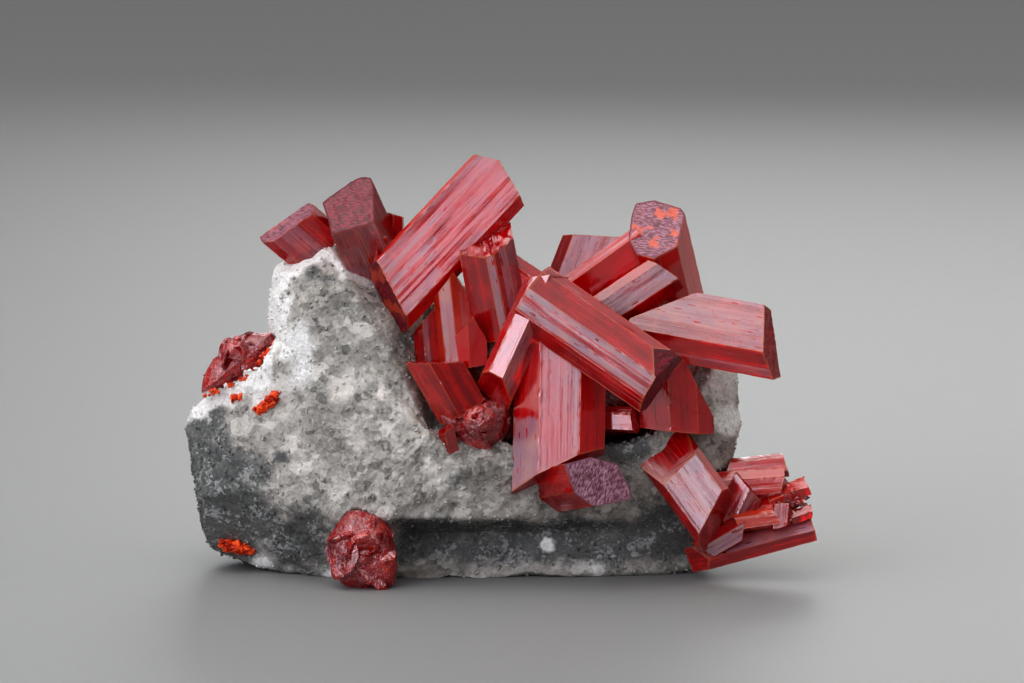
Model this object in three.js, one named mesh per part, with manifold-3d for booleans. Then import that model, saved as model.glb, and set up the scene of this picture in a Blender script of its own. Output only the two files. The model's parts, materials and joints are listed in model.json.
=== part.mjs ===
// Realgar specimen: red prismatic crystals on a grey calcite matrix.
// Millimetres, +Z up, X to the right, -Y towards the front, underside of the rock on Z = 0.
import * as THREE from 'three';
import { mergeVertices } from 'three/addons/utils/BufferGeometryUtils.js';
import Module from 'manifold-3d';

const wasm = await Module();
wasm.setup();

// Driving dimensions. Places are given in the front view: x to the right, y down, and
// nearness, which grows towards the front. One unit of that view is UNIT millimetres.
const UNIT = 0.12;
const VIEW_TILT = (8 * Math.PI) / 180; // how far the front view looks down
const MIDDLE_ACROSS = 500.81; // x of the middle of the specimen
const MIDDLE_NEAR = -12.59; // nearness of the middle of the specimen
const FLOOR_DOWN = 590; // y of the spot where the front lump rests
const FLOOR_NEAR = 130; // nearness of that spot
const SOCKET_GAP = 0.3; // mm between a crystal and the rock around it
const LONG = 400; // length of the box that cuts a face, in units

// The rock: its outline in the front view, counter-clockwise from the right.
const ROCK_CENTRE = [430, 430, 0];
const ROCK_OUTLINE = [
  [741, 425], [738, 372], [700, 345], [650, 340], [600, 340], [540, 330],
  [480, 320], [430, 300], [395, 282], [370, 264], [342, 252], [325, 236],
  [300, 250], [272, 268], [267, 310], [268, 335], [243, 362], [215, 388],
  [190, 410], [184, 422], [188, 455], [192, 500], [200, 530], [208, 550],
  [240, 562], [262, 570], [290, 577], [330, 582], [400, 582], [450, 582],
  [530, 580], [580, 582], [630, 580], [690, 574], [728, 520], [733, 460],
];
// How far the rock reaches to the front, at evenly spaced bearings from the right.
const ROCK_FRONT = [92, 66, 58, 66, 96, 104, 104, 108, 112, 114, 112, 106];
const ROCK_BACK = 128;
const ROCK_BULGE = 3; // power of the rounded box that the rock starts from
const ROCK_DETAIL = 12;
const LUMP_DETAIL = 5;
const UNDERCUT = { left: 392, top: 520, depth: 46, soft: 14 };
// Broken faces: bearing in degrees, lean to the front, distance from the centre.
const ROCK_FACES = [
  [200, 0.9, 212], [170, 1.3, 160], [140, 1.0, 188], [112, 1.3, 168], [235, 1.4, 140],
  [260, 2.2, 128], [300, 2.4, 122], [185, 3.5, 110], [30, -1.1, 205], [80, -0.9, 150],
  [150, -0.9, 190], [200, -0.9, 205], [330, -0.9, 250], [0, -0.9, 250], [15, 0.9, 240],
];

// Crystals. Each runs from `foot` towards `to`; `section` is its cross-section as
// [across, out] pairs, across to the right of the run and out towards the front.
// `tips` and `feet` are end faces [along, slope across, slope out].
const TALL_BLADE = {
  foot: [394, 294, 85], to: [501, 180, 85],
  section: [[-34, 14], [25, 14], [35, 3], [35, -8], [26, -16], [-28, -16], [-37, -8], [-37, 8]],
  tips: [[175.5, 0.56, 0.1], [164, -0.3, 0.1]],
  feet: [[-6.6, -0.34, 0.5]],
};
const BROKEN_TOP = {
  foot: [500, 340, 80], to: [482, 245, 100],
  section: [[-24, 4], [2, 22], [10, 22], [32, 6], [32, -14], [-24, -14]],
  tips: [[102, 0.15, -0.5]],
  feet: [[0, 0, 0]],
};
const TOP_STEP = {
  foot: [492, 258, 78], to: [540, 290, 78],
  section: [[-16, 4], [-6, 14], [10, 12], [14, -8], [-16, -10]],
  tips: [[50, 0, 0.3]],
  feet: [[0, 0, 0]],
};
const PALE_UPRIGHT = {
  foot: [455, 368, 78], to: [446, 283, 88],
  section: [[-14, 2], [-8, 16], [5, 20], [26, 4], [26, -14], [-14, -14]],
  tips: [[88, 1.1, 0], [118, -2.2, 0]],
  feet: [[0, 0, 0]],
};
const RED_BLOCK = {
  foot: [470, 364, 88], to: [468, 318, 98],
  section: [[-15, 6], [0, 18], [18, 8], [18, -14], [-15, -14]],
  tips: [[43, 1, 0.1], [60, -1.9, 0.1]],
  feet: [[0, 0, 0]],
};
const BACK_STRIPED = {
  foot: [430, 364, 66], to: [425, 305, 70],
  section: [[-14, 4], [-4, 14], [12, 10], [14, -14], [-14, -12]],
  tips: [[46, 0.95, 0.1]],
  feet: [[0, 0, 0]],
};
const LEFT_SHORT = {
  foot: [457, 410, 98], to: [432, 366, 106],
  section: [[-21, 0], [0, 18], [30, 4], [30, -15], [-21, -15]],
  tips: [[57, -0.55, 0.1]],
  feet: [[-6, 0, 0]],
};
const KNOB_BLOCK = {
  foot: [478, 452, 98], to: [480, 400, 108],
  section: [[-36, -2], [-20, 12], [14, 14], [34, 2], [34, -16], [-36, -16]],
  tips: [[50, 0.1, 0.1]],
  feet: [[-16, -0.9, 0.4], [-14, 0.9, 0.4]],
};
const LEANING = {
  foot: [502, 377, 110], to: [543, 287, 112],
  section: [[-20, 4], [-14, 12], [1, 18], [19, 2], [19, -14], [-20, -14]],
  tips: [[108, 0.5, 0.2]],
  feet: [[-14, -0.33, 0.8]],
};
const FRONT_DIAGONAL = {
  foot: [533, 290, 112], to: [650, 371, 138],
  section: [[-28, 2], [-20, 14], [2, 21], [27, 15], [40, 0], [34, -14], [-28, -14]],
  tips: [[158, 0, -0.15], [196, 1.5, -2.2]],
  feet: [[0, 0, -0.1]],
};
const UPRIGHT = {
  foot: [546, 482, 104], to: [549, 345, 100],
  section: [[-34, 0], [-9, 20], [32, 20], [57, 2], [57, -25], [-34, -25]],
  tips: [[140, 0, 0]],
  feet: [[7, 0.49, 0.3]],
};
const ROUGH_ENDED = {
  foot: [545, 493, 40], to: [598, 481, 135],
  section: [[-26, 32], [-27, 2], [-14, -25], [16, -33], [23, -32], [22, 3], [21, 12], [3, 29]],
  tips: [[109, 0.02, -0.05]],
  feet: [[0, 0, 0]],
};
const BACK_PALE = {
  foot: [570, 305, 26], to: [594, 243, 26],
  section: [[-32, 0], [-22, 12], [28, 10], [28, -14], [-32, -12]],
  tips: [[74, 0.33, 0.1]],
  feet: [[0, 0, 0]],
};
const LONG_RED = {
  foot: [577, 288, 44], to: [640, 243, 50],
  section: [[-17, 0], [-8, 13], [18, 8], [20, -12], [-17, -12]],
  tips: [[84, 0, 0]],
  feet: [[-8, 0, 0]],
};
const BLUNT_ENDED = {
  foot: [684, 322, -40], to: [658, 228, 60],
  section: [
    [-14, -41], [4, -38], [28, -16], [30, -7], [13, 32], [-7, 36],
    [-13, 38], [-28, 25], [-32, 4], [-22, -26],
  ],
  tips: [[140, 0.05, -0.05]],
  feet: [[0, 0, 0]],
};
const MID_PALE = {
  foot: [605, 303, 74], to: [662, 265, 76],
  section: [[-12, 4], [-4, 12], [20, 12], [31, -2], [28, -14], [-12, -12]],
  tips: [[63, 0.4, 0.3]],
  feet: [[-8, 0, 0]],
};
const BROAD_RIGHT = {
  foot: [640, 325, 88], to: [760, 347, 96],
  section: [[-42, -10], [5, 16], [30, 0], [26, -22], [-38, -26]],
  tips: [[129, 0.36, -0.35]],
  feet: [[-12, 0, 0], [-19, -1.6, 0]],
};
const DARK_WEDGE = {
  foot: [678, 437, 78], to: [674, 370, 84],
  section: [[-38, 0], [-8, 14], [20, 12], [36, -2], [36, -22], [-38, -20]],
  tips: [[70, 1, 0.1], [98, -2.2, 0.1]],
  feet: [[6, -0.15, 0]],
};
const SMALL_BEHIND = {
  foot: [596, 418, 76], to: [636, 420, 86],
  section: [[-13, 2], [-6, 10], [10, 10], [13, -2], [8, -10], [-13, -10]],
  tips: [[40, 0.2, -0.2]],
  feet: [[0, 0, 0]],
};
const CLUSTER_BODY = {
  centre: [572, 378, 42], front: 38, back: 60, bulge: 2.6,
  outline: [
    [708, 372], [706, 330], [690, 292], [640, 292], [590, 300], [540, 284], [500, 268],
    [464, 272], [428, 306], [424, 362], [440, 412], [480, 430], [530, 446], [600, 442],
    [660, 424],
  ],
};
const KNOB_CHIP = {
  foot: [452, 452, 106], to: [446, 424, 114],
  section: [[-9, 0], [-2, 8], [8, 4], [9, -8], [-8, -8]],
  tips: [[27, 0.4, 0]],
  feet: [[0, 0, 0]],
};
const KNOB = { centre: [480, 421, 120], radius: 17 };

const SPUR_LARGE = {
  foot: [378, 268, 20], to: [351, 206, 78],
  section: [
    [-25, -23], [9, -33], [20, -33], [29, -27], [30, -18],
    [16, 37], [-3, 34], [-29, 27], [-26, 2],
  ],
  tips: [[89, 0.03, -0.05]],
  feet: [[0, 0, 0]],
};
const SPUR_SMALL = {
  foot: [322, 254, 40], to: [288, 225, 54],
  section: [[-30, 0], [-22, 10], [24, 10], [32, 0], [30, -12], [-28, -12]],
  tips: [[48, -0.26, -0.3]],
  feet: [[0, 0, 0]],
};
const SPUR_BEHIND = {
  foot: [394, 262, 14], to: [394, 214, 20],
  section: [[-8, 0], [-2, 8], [8, 6], [9, -8], [-8, -8]],
  tips: [[49, -0.3, 0.1]],
  feet: [[0, 0, 0]],
};
const SPUR_RHOMB = {
  foot: [376, 272, 44], to: [378, 240, 58],
  section: [[-10, 0], [0, 10], [10, 0], [0, -12]],
  tips: [[33, 0.2, 0]],
  feet: [[0, 0, 0]],
};

const LOW_BROAD = {
  foot: [655, 440, 72], to: [713, 520, 90],
  section: [[-31, 2], [-24, 13], [20, 16], [27, 4], [26, -18], [-31, -18]],
  tips: [[100, 0.53, -0.4]],
  feet: [[6.7, 0, 2.3], [-8, 0.4, 0]],
};
const LOW_LONG = {
  foot: [700, 560, 66], to: [814, 530, 62],
  section: [[-15, -6], [0, 12], [11, 6], [11, -14], [-15, -18]],
  tips: [[118, 0, 0]],
  feet: [[0, 0, 0.67]],
};
const LOW_PLATE = {
  foot: [722, 474, 40], to: [790, 467, 40],
  section: [[-14, -6], [-10, 6], [4, 10], [10, 0], [8, -12], [-12, -12]],
  tips: [[66, 0.2, 0]],
  feet: [[4, -0.5, 0]],
};
const LOW_BLOCK = {
  foot: [716, 487, 54], to: [788, 482, 54],
  section: [[-15, 0], [-6, 12], [10, 12], [16, 0], [14, -16], [-15, -16]],
  tips: [[66, -0.3, 0.1]],
  feet: [[0, 0, 0]],
};
const LOW_RED = {
  foot: [722, 518, 62], to: [790, 510, 58],
  section: [[-18, -4], [-4, 10], [12, 6], [14, -14], [-18, -14]],
  tips: [[66, 0.1, 0.1]],
  feet: [[0, 0, 0]],
};
const LOW_WEDGE = {
  foot: [735, 518, 68], to: [752, 482, 74],
  section: [[-20, 0], [0, 9], [16, 0], [14, -14], [-18, -14]],
  tips: [[34, -0.4, 0]],
  feet: [[0, 0, 0]],
};
const LOW_CHIP = {
  foot: [770, 505, 56], to: [802, 492, 58],
  section: [[-14, 0], [-4, 9], [10, 6], [12, -8], [-12, -10]],
  tips: [[38, -0.4, 0]],
  feet: [[0, 0, 0]],
};
const LOW_BODY = {
  centre: [752, 502, 44], front: 16, back: 30, bulge: 2.6,
  outline: [
    [800, 500], [786, 474], [740, 474], [712, 474], [706, 510], [716, 544], [770, 526],
    [802, 516],
  ],
};

// Broken lumps of realgar without crystal faces.
const BOTTOM_LUMP = {
  centre: [364, 546, 100], front: 30, back: 34, bulge: 2.3, rough: 0.12, grain: 26,
  outline: [
    [400, 560], [397, 540], [384, 517], [368, 508], [350, 506], [336, 526],
    [329, 560], [333, 573], [345, 587], [370, 588], [386, 590], [397, 586],
  ],
};
const EDGE_PATCH = {
  centre: [238, 362, 30], front: 30, back: 34, bulge: 2.3, rough: 0.12, grain: 22,
  outline: [
    [277, 337], [273, 331], [262, 331], [240, 335], [221, 341], [217, 356],
    [202, 372], [197, 397], [204, 393], [230, 383], [246, 372], [268, 352],
  ],
};
const GRAINS = {
  orange_grain_upper: { centre: [239, 399, 50], reach: [9, 6, 8], turn: 5 },
  orange_sliver: { centre: [269, 402, 64], reach: [18, 6, 9], turn: 32 },
  orange_patch_low: { centre: [234, 547, 22], reach: [20, 8, 10], turn: -12 },
};

/** A place of the front view, in millimetres. */
function place(across, down, near) {
  const up = (FLOOR_DOWN - down) * UNIT;
  const sin = Math.sin(VIEW_TILT);
  const cos = Math.cos(VIEW_TILT);
  return new THREE.Vector3(
    (across - MIDDLE_ACROSS) * UNIT,
    up * sin - (near - MIDDLE_NEAR) * UNIT * cos,
    up * cos + (near - FLOOR_NEAR) * UNIT * sin,
  );
}
const RIGHT = new THREE.Vector3(1, 0, 0);
const UP = place(0, 0, 0).sub(place(0, 1, 0)).normalize();
const NEAR = place(0, 0, 1).sub(place(0, 0, 0)).normalize();

/** A closed triangle mesh as a solid for joining and cutting. */
function solid(geometry) {
  const bare = geometry.clone();
  bare.deleteAttribute('normal');
  bare.deleteAttribute('uv');
  const merged = mergeVertices(bare, 1e-5);
  return new wasm.Manifold(new wasm.Mesh({
    numProp: 3,
    vertProperties: new Float32Array(merged.attributes.position.array),
    triVerts: new Uint32Array(merged.index.array),
  }));
}

/** The solid's surface as a three.js geometry with flat faces. */
function surface(body) {
  const mesh = body.getMesh();
  const geometry = new THREE.BufferGeometry();
  geometry.setAttribute('position', new THREE.BufferAttribute(mesh.vertProperties, 3));
  geometry.setIndex(new THREE.BufferAttribute(mesh.triVerts, 1));
  const flat = geometry.toNonIndexed();
  flat.computeVertexNormals();
  return flat;
}

/** Repeatable noise between -1 and 1 that changes over `size` units. */
function roughness(x, y, z, size) {
  const cell = [x / size, y / size, z / size];
  const low = cell.map(Math.floor);
  const part = cell.map((value, axis) => value - low[axis]);
  const ease = part.map((t) => t * t * (3 - 2 * t));
  let total = 0;
  for (let corner = 0; corner < 8; corner += 1) {
    const step = [corner & 1, (corner >> 1) & 1, corner >> 2];
    const key = (low[0] + step[0]) * 127.1 + (low[1] + step[1]) * 311.7 + (low[2] + step[2]) * 74.7;
    const wave = Math.sin(key) * 43758.5453;
    const weight = step.reduce((w, s, axis) => w * (s ? ease[axis] : 1 - ease[axis]), 1);
    total += weight * (wave - Math.floor(wave));
  }
  return 2 * total - 1;
}

/** Distance from `centre` to the outline at a bearing, straight between its points. */
function reachAt(outline, centre, bearing) {
  const turn = 2 * Math.PI;
  const spokes = outline.map(([x, y]) => {
    const angle = Math.atan2(centre[1] - y, x - centre[0]);
    return [(angle + turn) % turn, Math.hypot(x - centre[0], y - centre[1])];
  }).sort((a, b) => a[0] - b[0]);
  const angle = (bearing + turn) % turn;
  let after = spokes.findIndex((spoke) => spoke[0] > angle);
  if (after < 0) after = 0;
  const before = (after + spokes.length - 1) % spokes.length;
  const gap = (spokes[after][0] - spokes[before][0] + turn) % turn;
  const part = ((angle - spokes[before][0] + turn) % turn) / gap;
  return spokes[before][1] * (1 - part) + spokes[after][1] * part;
}

/** Value of an evenly spaced closed list at a bearing, eased between entries. */
function aroundList(list, bearing) {
  const turn = 2 * Math.PI;
  const at = (((bearing + turn) % turn) / turn) * list.length;
  const first = Math.floor(at) % list.length;
  const part = at - Math.floor(at);
  const ease = part * part * (3 - 2 * part);
  return list[first] * (1 - ease) + list[(first + 1) % list.length] * ease;
}

/** A lump that fills an outline of the front view: front-view offset for a direction. */
function lumpOffset(direction, outline, centre, front, back, bulge) {
  const bearing = Math.atan2(direction.y, direction.x);
  const side = Math.hypot(direction.x, direction.y) / reachAt(outline, centre, bearing);
  const depth = Math.abs(direction.z) / (direction.z > 0 ? front : back);
  return 1 / (side ** bulge + depth ** bulge) ** (1 / bulge);
}

function mapSphere(detail, offset) {
  const sphere = new THREE.IcosahedronGeometry(1, detail);
  sphere.deleteAttribute('normal');
  sphere.deleteAttribute('uv');
  const geometry = mergeVertices(sphere, 1e-5);
  const points = geometry.attributes.position;
  const direction = new THREE.Vector3();
  for (let i = 0; i < points.count; i += 1) {
    direction.fromBufferAttribute(points, i).normalize();
    const [x, y, near] = offset(direction);
    const spot = place(x, y, near);
    points.setXYZ(i, spot.x, spot.y, spot.z);
  }
  return solid(geometry);
}

function lump({ centre, front, back, bulge, outline, rough = 0, grain = 20 }, detail, grow = 0) {
  return mapSphere(detail, (direction) => {
    let reach = lumpOffset(direction, outline, centre, front, back, bulge);
    const spot = [0, 1, 2].map((axis) => direction.getComponent(axis) * reach);
    reach *= 1 + rough * roughness(spot[0] + 500, spot[1] + 500, spot[2] + 500, grain);
    reach += grow / UNIT;
    return [
      centre[0] + direction.x * reach,
      centre[1] - direction.y * reach,
      centre[2] + direction.z * reach,
    ];
  });
}

/** The rock without sockets: rounded box, broken faces, lumps and the undercut in front. */
function rockBody() {
  const faces = ROCK_FACES.map(([bearing, lean, distance]) => ({
    normal: new THREE.Vector3(
      Math.cos((bearing * Math.PI) / 180),
      Math.sin((bearing * Math.PI) / 180),
      lean,
    ).normalize(),
    distance,
  }));
  return mapSphere(ROCK_DETAIL, (direction) => {
    const bearing = Math.atan2(direction.y, direction.x);
    const front = aroundList(ROCK_FRONT, bearing);
    let reach = lumpOffset(direction, ROCK_OUTLINE, ROCK_CENTRE, front, ROCK_BACK, ROCK_BULGE);
    for (const { normal, distance } of faces) {
      const facing = normal.dot(direction);
      if (facing > 0.05) reach = Math.min(reach, distance / facing);
    }
    const spot = [0, 1, 2].map((axis) => direction.getComponent(axis) * reach + 1000);
    const bumps = 6 * roughness(...spot, 62) + 3.2 * roughness(...spot, 27);
    reach += bumps * Math.min(1, Math.abs(direction.z) * 3 + 0.25);
    const x = ROCK_CENTRE[0] + direction.x * reach;
    const y = ROCK_CENTRE[1] - direction.y * reach;
    let near = ROCK_CENTRE[2] + direction.z * reach;
    const below = THREE.MathUtils.smoothstep(y, UNDERCUT.top - 4, UNDERCUT.top + UNDERCUT.soft);
    const beside = THREE.MathUtils.smoothstep(x, UNDERCUT.left - 20, UNDERCUT.left + 20);
    const held = UNDERCUT.depth + 4 * roughness(...spot, 30);
    if (near > held) near += (held - near) * below * beside;
    return [x, y, near];
  });
}

/** Moves the sides of a convex polygon outwards. */
function widened(points, grow) {
  if (!grow) return points;
  const area = points.reduce((sum, [x, y], i) => {
    const [nx, ny] = points[(i + 1) % points.length];
    return sum + x * ny - nx * y;
  }, 0);
  const turn = Math.sign(area);
  const sides = points.map(([x, y], i) => {
    const [nx, ny] = points[(i + 1) % points.length];
    const length = Math.hypot(nx - x, ny - y);
    const normal = [(turn * (ny - y)) / length, (-turn * (nx - x)) / length];
    return { normal, distance: normal[0] * x + normal[1] * y + grow };
  });
  return sides.map((side, i) => {
    const last = sides[(i + sides.length - 1) % sides.length];
    const cross = last.normal[0] * side.normal[1] - last.normal[1] * side.normal[0];
    return [
      (last.distance * side.normal[1] - side.distance * last.normal[1]) / cross,
      (side.distance * last.normal[0] - last.distance * side.normal[0]) / cross,
    ];
  });
}

/** One crystal: its section carried along its run and cut by its end faces. */
function crystal({ foot, to, section, tips, feet }, grow = 0) {
  const start = place(...foot);
  const run = place(...to).sub(start).normalize();
  const across = new THREE.Vector3().crossVectors(run, NEAR).normalize();
  const out = new THREE.Vector3().crossVectors(across, run);
  const outline = widened(section, grow / UNIT).map(([u, v]) => [u * UNIT, v * UNIT]);
  const shape = new THREE.Shape(outline.map(([u, v]) => new THREE.Vector2(u, -v)));
  const bar = new THREE.ExtrudeGeometry(shape, { depth: LONG * UNIT, bevelEnabled: false });
  bar.translate(0, 0, -0.4 * LONG * UNIT);
  const frame = new THREE.Matrix4().makeBasis(across, out.clone().negate(), run).setPosition(start);
  let body = solid(bar);
  const cuts = [...tips.map((face) => [face, 1]), ...feet.map((face) => [face, -1])];
  for (const [[along, slopeAcross, slopeOut], side] of cuts) {
    const normal = new THREE.Vector3(-slopeAcross, slopeOut, 1).normalize().multiplyScalar(side);
    const box = new THREE.BoxGeometry(LONG * UNIT, LONG * UNIT, LONG * UNIT);
    box.translate(0, 0, (LONG * UNIT) / 2 + grow);
    const turn = new THREE.Quaternion().setFromUnitVectors(new THREE.Vector3(0, 0, 1), normal);
    box.applyQuaternion(turn);
    box.translate(0, 0, along * UNIT);
    body = body.subtract(solid(box));
  }
  return body.transform(frame.toArray());
}

/** The biggest connected piece, without slivers that the sockets cut loose. */
function biggest(body) {
  return body.decompose().reduce((best, one) => (one.volume() > best.volume() ? one : best));
}

function joined(bodies) {
  return bodies.reduce((sum, body) => sum.add(body));
}

function roundKnob(grow = 0) {
  const ball = new THREE.IcosahedronGeometry(KNOB.radius * UNIT + grow, 3);
  const spot = place(...KNOB.centre);
  ball.translate(spot.x, spot.y, spot.z);
  return solid(ball);
}

function mainCluster(grow = 0) {
  return joined([
    lump(CLUSTER_BODY, 5, grow), roundKnob(grow),
    ...[TALL_BLADE, BROKEN_TOP, TOP_STEP, PALE_UPRIGHT, RED_BLOCK, BACK_STRIPED, LEFT_SHORT,
      KNOB_BLOCK, LEANING, FRONT_DIAGONAL, UPRIGHT, ROUGH_ENDED, BACK_PALE, LONG_RED,
      BLUNT_ENDED, MID_PALE, BROAD_RIGHT, DARK_WEDGE, SMALL_BEHIND, KNOB_CHIP,
    ].map((one) => crystal(one, grow)),
  ]);
}

function spurCrystals(grow = 0) {
  return joined([SPUR_LARGE, SPUR_SMALL, SPUR_BEHIND, SPUR_RHOMB].map((one) => crystal(one, grow)));
}

function lowCluster(grow = 0) {
  return joined([
    lump(LOW_BODY, 4, grow),
    ...[LOW_BROAD, LOW_LONG, LOW_PLATE, LOW_BLOCK, LOW_RED, LOW_WEDGE, LOW_CHIP]
      .map((one) => crystal(one, grow)),
  ]);
}

function grain({ centre, reach, turn }, grow = 0) {
  const ball = new THREE.IcosahedronGeometry(1, 1);
  const [across, up, out] = reach.map((length) => length * UNIT + grow);
  ball.scale(across, out, up);
  ball.rotateY(-THREE.MathUtils.degToRad(turn));
  const spot = place(...centre);
  ball.translate(spot.x, spot.y, spot.z);
  return solid(ball);
}

/** Everything under Z = 0, which is cut away to make the flat resting faces. */
function underFloor() {
  const box = new THREE.BoxGeometry(300, 300, 60);
  box.translate(0, 0, -30);
  return solid(box);
}

function named(name, body, colour, roughnessValue) {
  const material = new THREE.MeshStandardMaterial({
    color: colour, roughness: roughnessValue, metalness: 0, flatShading: true,
  });
  material.name = `${name}_finish`;
  const mesh = new THREE.Mesh(surface(body), material);
  mesh.name = name;
  return mesh;
}

const floor = underFloor();
const aroundCluster = mainCluster(SOCKET_GAP);
const spur = spurCrystals().subtract(aroundCluster);
const low = lowCluster().subtract(aroundCluster).subtract(floor);
const bottomLump = lump(BOTTOM_LUMP, LUMP_DETAIL).subtract(floor);
const edgePatch = lump(EDGE_PATCH, LUMP_DETAIL);

let rock = rockBody().subtract(floor);
rock = rock.subtract(aroundCluster).subtract(spurCrystals(SOCKET_GAP));
rock = rock.subtract(lowCluster(SOCKET_GAP));
rock = rock.subtract(lump(BOTTOM_LUMP, LUMP_DETAIL, SOCKET_GAP)).subtract(lump(EDGE_PATCH, LUMP_DETAIL, SOCKET_GAP));
for (const one of Object.values(GRAINS)) rock = rock.subtract(grain(one, SOCKET_GAP));

const group = new THREE.Group();
group.name = 'realgar_specimen';
group.add(named('matrix_rock', biggest(rock), 0xa9a9a6, 0.9));
group.add(named('main_crystal_cluster', mainCluster(), 0xa01020, 0.25));
group.add(named('spur_crystals', spur, 0xa01828, 0.3));
group.add(named('lower_right_crystals', low, 0xa81820, 0.3));
group.add(named('bottom_realgar_lump', bottomLump, 0xa81418, 0.35));
group.add(named('edge_realgar_patch', edgePatch, 0xa01414, 0.4));
for (const [name, one] of Object.entries(GRAINS)) {
  group.add(named(name, grain(one), 0xe0481c, 0.5));
}

export default group;
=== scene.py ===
# %% [markdown]
# # A realgar specimen
# Red prismatic crystals of realgar stand on a lump of grey and white calcite rock. This
# lesson builds it piece by piece in metres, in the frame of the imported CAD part, so each
# finished piece lies where the plain solid of the same name lies.

import json

import bpy
import numpy as np
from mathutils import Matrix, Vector

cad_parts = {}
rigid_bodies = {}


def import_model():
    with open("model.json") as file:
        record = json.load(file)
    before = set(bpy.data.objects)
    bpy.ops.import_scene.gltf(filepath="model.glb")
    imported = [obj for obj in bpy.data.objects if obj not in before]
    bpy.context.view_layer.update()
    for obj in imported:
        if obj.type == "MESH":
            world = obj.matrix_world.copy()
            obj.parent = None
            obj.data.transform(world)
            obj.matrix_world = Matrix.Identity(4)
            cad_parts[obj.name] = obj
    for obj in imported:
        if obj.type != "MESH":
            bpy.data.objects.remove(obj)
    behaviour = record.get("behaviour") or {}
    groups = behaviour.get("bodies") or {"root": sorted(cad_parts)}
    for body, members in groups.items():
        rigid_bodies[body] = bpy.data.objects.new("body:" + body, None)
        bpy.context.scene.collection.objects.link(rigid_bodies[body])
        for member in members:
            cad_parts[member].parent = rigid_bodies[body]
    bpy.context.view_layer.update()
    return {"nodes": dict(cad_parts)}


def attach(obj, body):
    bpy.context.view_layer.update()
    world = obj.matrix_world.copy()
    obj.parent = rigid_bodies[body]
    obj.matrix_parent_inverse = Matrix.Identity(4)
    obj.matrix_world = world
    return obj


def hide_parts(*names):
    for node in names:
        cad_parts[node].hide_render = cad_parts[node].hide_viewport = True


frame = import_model()
print("CAD nodes:", sorted(frame["nodes"]))

# %% [markdown]
# ## The front view
# Every place is measured in one drawing, the front view: x to the right, y down, and
# nearness towards the front, with 0.12 mm to a unit. The drawing looks down by 8 degrees,
# so one function turns its places into metres for all pieces.

# %% Places of the front view in metres
UNIT = 0.12e-3
VIEW_TILT = np.radians(8)
MIDDLE_ACROSS = 500.81
MIDDLE_NEAR = -12.59
FLOOR_DOWN = 590
FLOOR_NEAR = 130
SIN, COS = np.sin(VIEW_TILT), np.cos(VIEW_TILT)
NEAR = np.array([0, -COS, SIN])
DOWNWARD = np.array([1, -1, 1])  # turns a way that points up into the drawing's y


def place(across, down, near):
    """Front-view places as metres: the drawing plane turned back by VIEW_TILT."""
    up = (FLOOR_DOWN - np.asarray(down, float)) * UNIT
    x = (np.asarray(across, float) - MIDDLE_ACROSS) * UNIT
    near = np.asarray(near, float)
    y = up * SIN - (near - MIDDLE_NEAR) * UNIT * COS
    z = up * COS + (near - FLOOR_NEAR) * UNIT * SIN
    return np.stack(np.broadcast_arrays(x, y, z), axis=-1)


def above_floor(places):
    """Metres of an array of front-view places, none of them lower than the floor."""
    metres = place(places[..., 0], places[..., 1], places[..., 2])
    metres[..., 2] = np.maximum(metres[..., 2], 0)
    return metres


print("top of the drawing in metres:", place(500, 153, 80).round(4))

# %% [markdown]
# ## Meshes from arrays
# A surface is an array of points on a grid. One helper joins neighbouring grid points to
# four-cornered faces, another hands points, faces, a UV map and named values to Blender.


# %% Helpers for meshes
def grid_faces(rows, columns, first=0):
    """Quads between neighbouring rows of a grid whose columns close into a ring."""
    row = np.arange(rows - 1)[:, None] * columns
    column = np.arange(columns)[None, :]
    following = (column + 1) % columns
    quads = [row + column, row + following, row + columns + following, row + columns + column]
    return first + np.stack(quads, axis=-1).reshape(-1, 4)


def build_piece(name, points, faces, uv=None, values=None, smooth=False, slots=None):
    """Puts arrays of points and faces into a mesh, with a UV map and named values."""
    mesh = bpy.data.meshes.new(name)
    faces = [np.asarray(part, np.int32) for part in (faces if isinstance(faces, list) else [faces])]
    sizes = np.concatenate([np.full(len(part), part.shape[1], np.int32) for part in faces])
    corners = np.concatenate([part.ravel() for part in faces])
    mesh.vertices.add(len(points))
    mesh.vertices.foreach_set("co", np.asarray(points, np.float32).ravel())
    mesh.loops.add(len(corners))
    mesh.loops.foreach_set("vertex_index", corners)
    mesh.polygons.add(len(sizes))
    mesh.polygons.foreach_set("loop_start", np.cumsum(sizes) - sizes)
    mesh.polygons.foreach_set("use_smooth", np.full(len(sizes), smooth))
    if slots is not None:
        mesh.polygons.foreach_set("material_index", np.asarray(slots, np.int32))
    if uv is not None:
        layer = mesh.uv_layers.new(name="along")
        layer.uv.foreach_set("vector", np.asarray(uv, np.float32)[corners].ravel())
    for key, value in (values or {}).items():
        mesh.attributes.new(key, "FLOAT", "POINT").data.foreach_set(
            "value", np.asarray(value, np.float32)
        )
    mesh.update(calc_edges=True)
    mesh.validate()
    thing = bpy.data.objects.new(name, mesh)
    bpy.context.scene.collection.objects.link(thing)
    return thing


def belongs(thing, node, slot, *materials):
    """Paints a finished piece, hangs it on the root body and hides the CAD node that it stands for.
    """
    for material in materials:
        thing.data.materials.append(material)
    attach(thing, "root")
    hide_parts(node)
    return thing


# %% [markdown]
# ## Uneven ground
# Natural surfaces need repeatable unevenness. Values are drawn at the corners of a cubic
# lattice by a formula and eased in between, so the same place always has the same bump.


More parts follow.
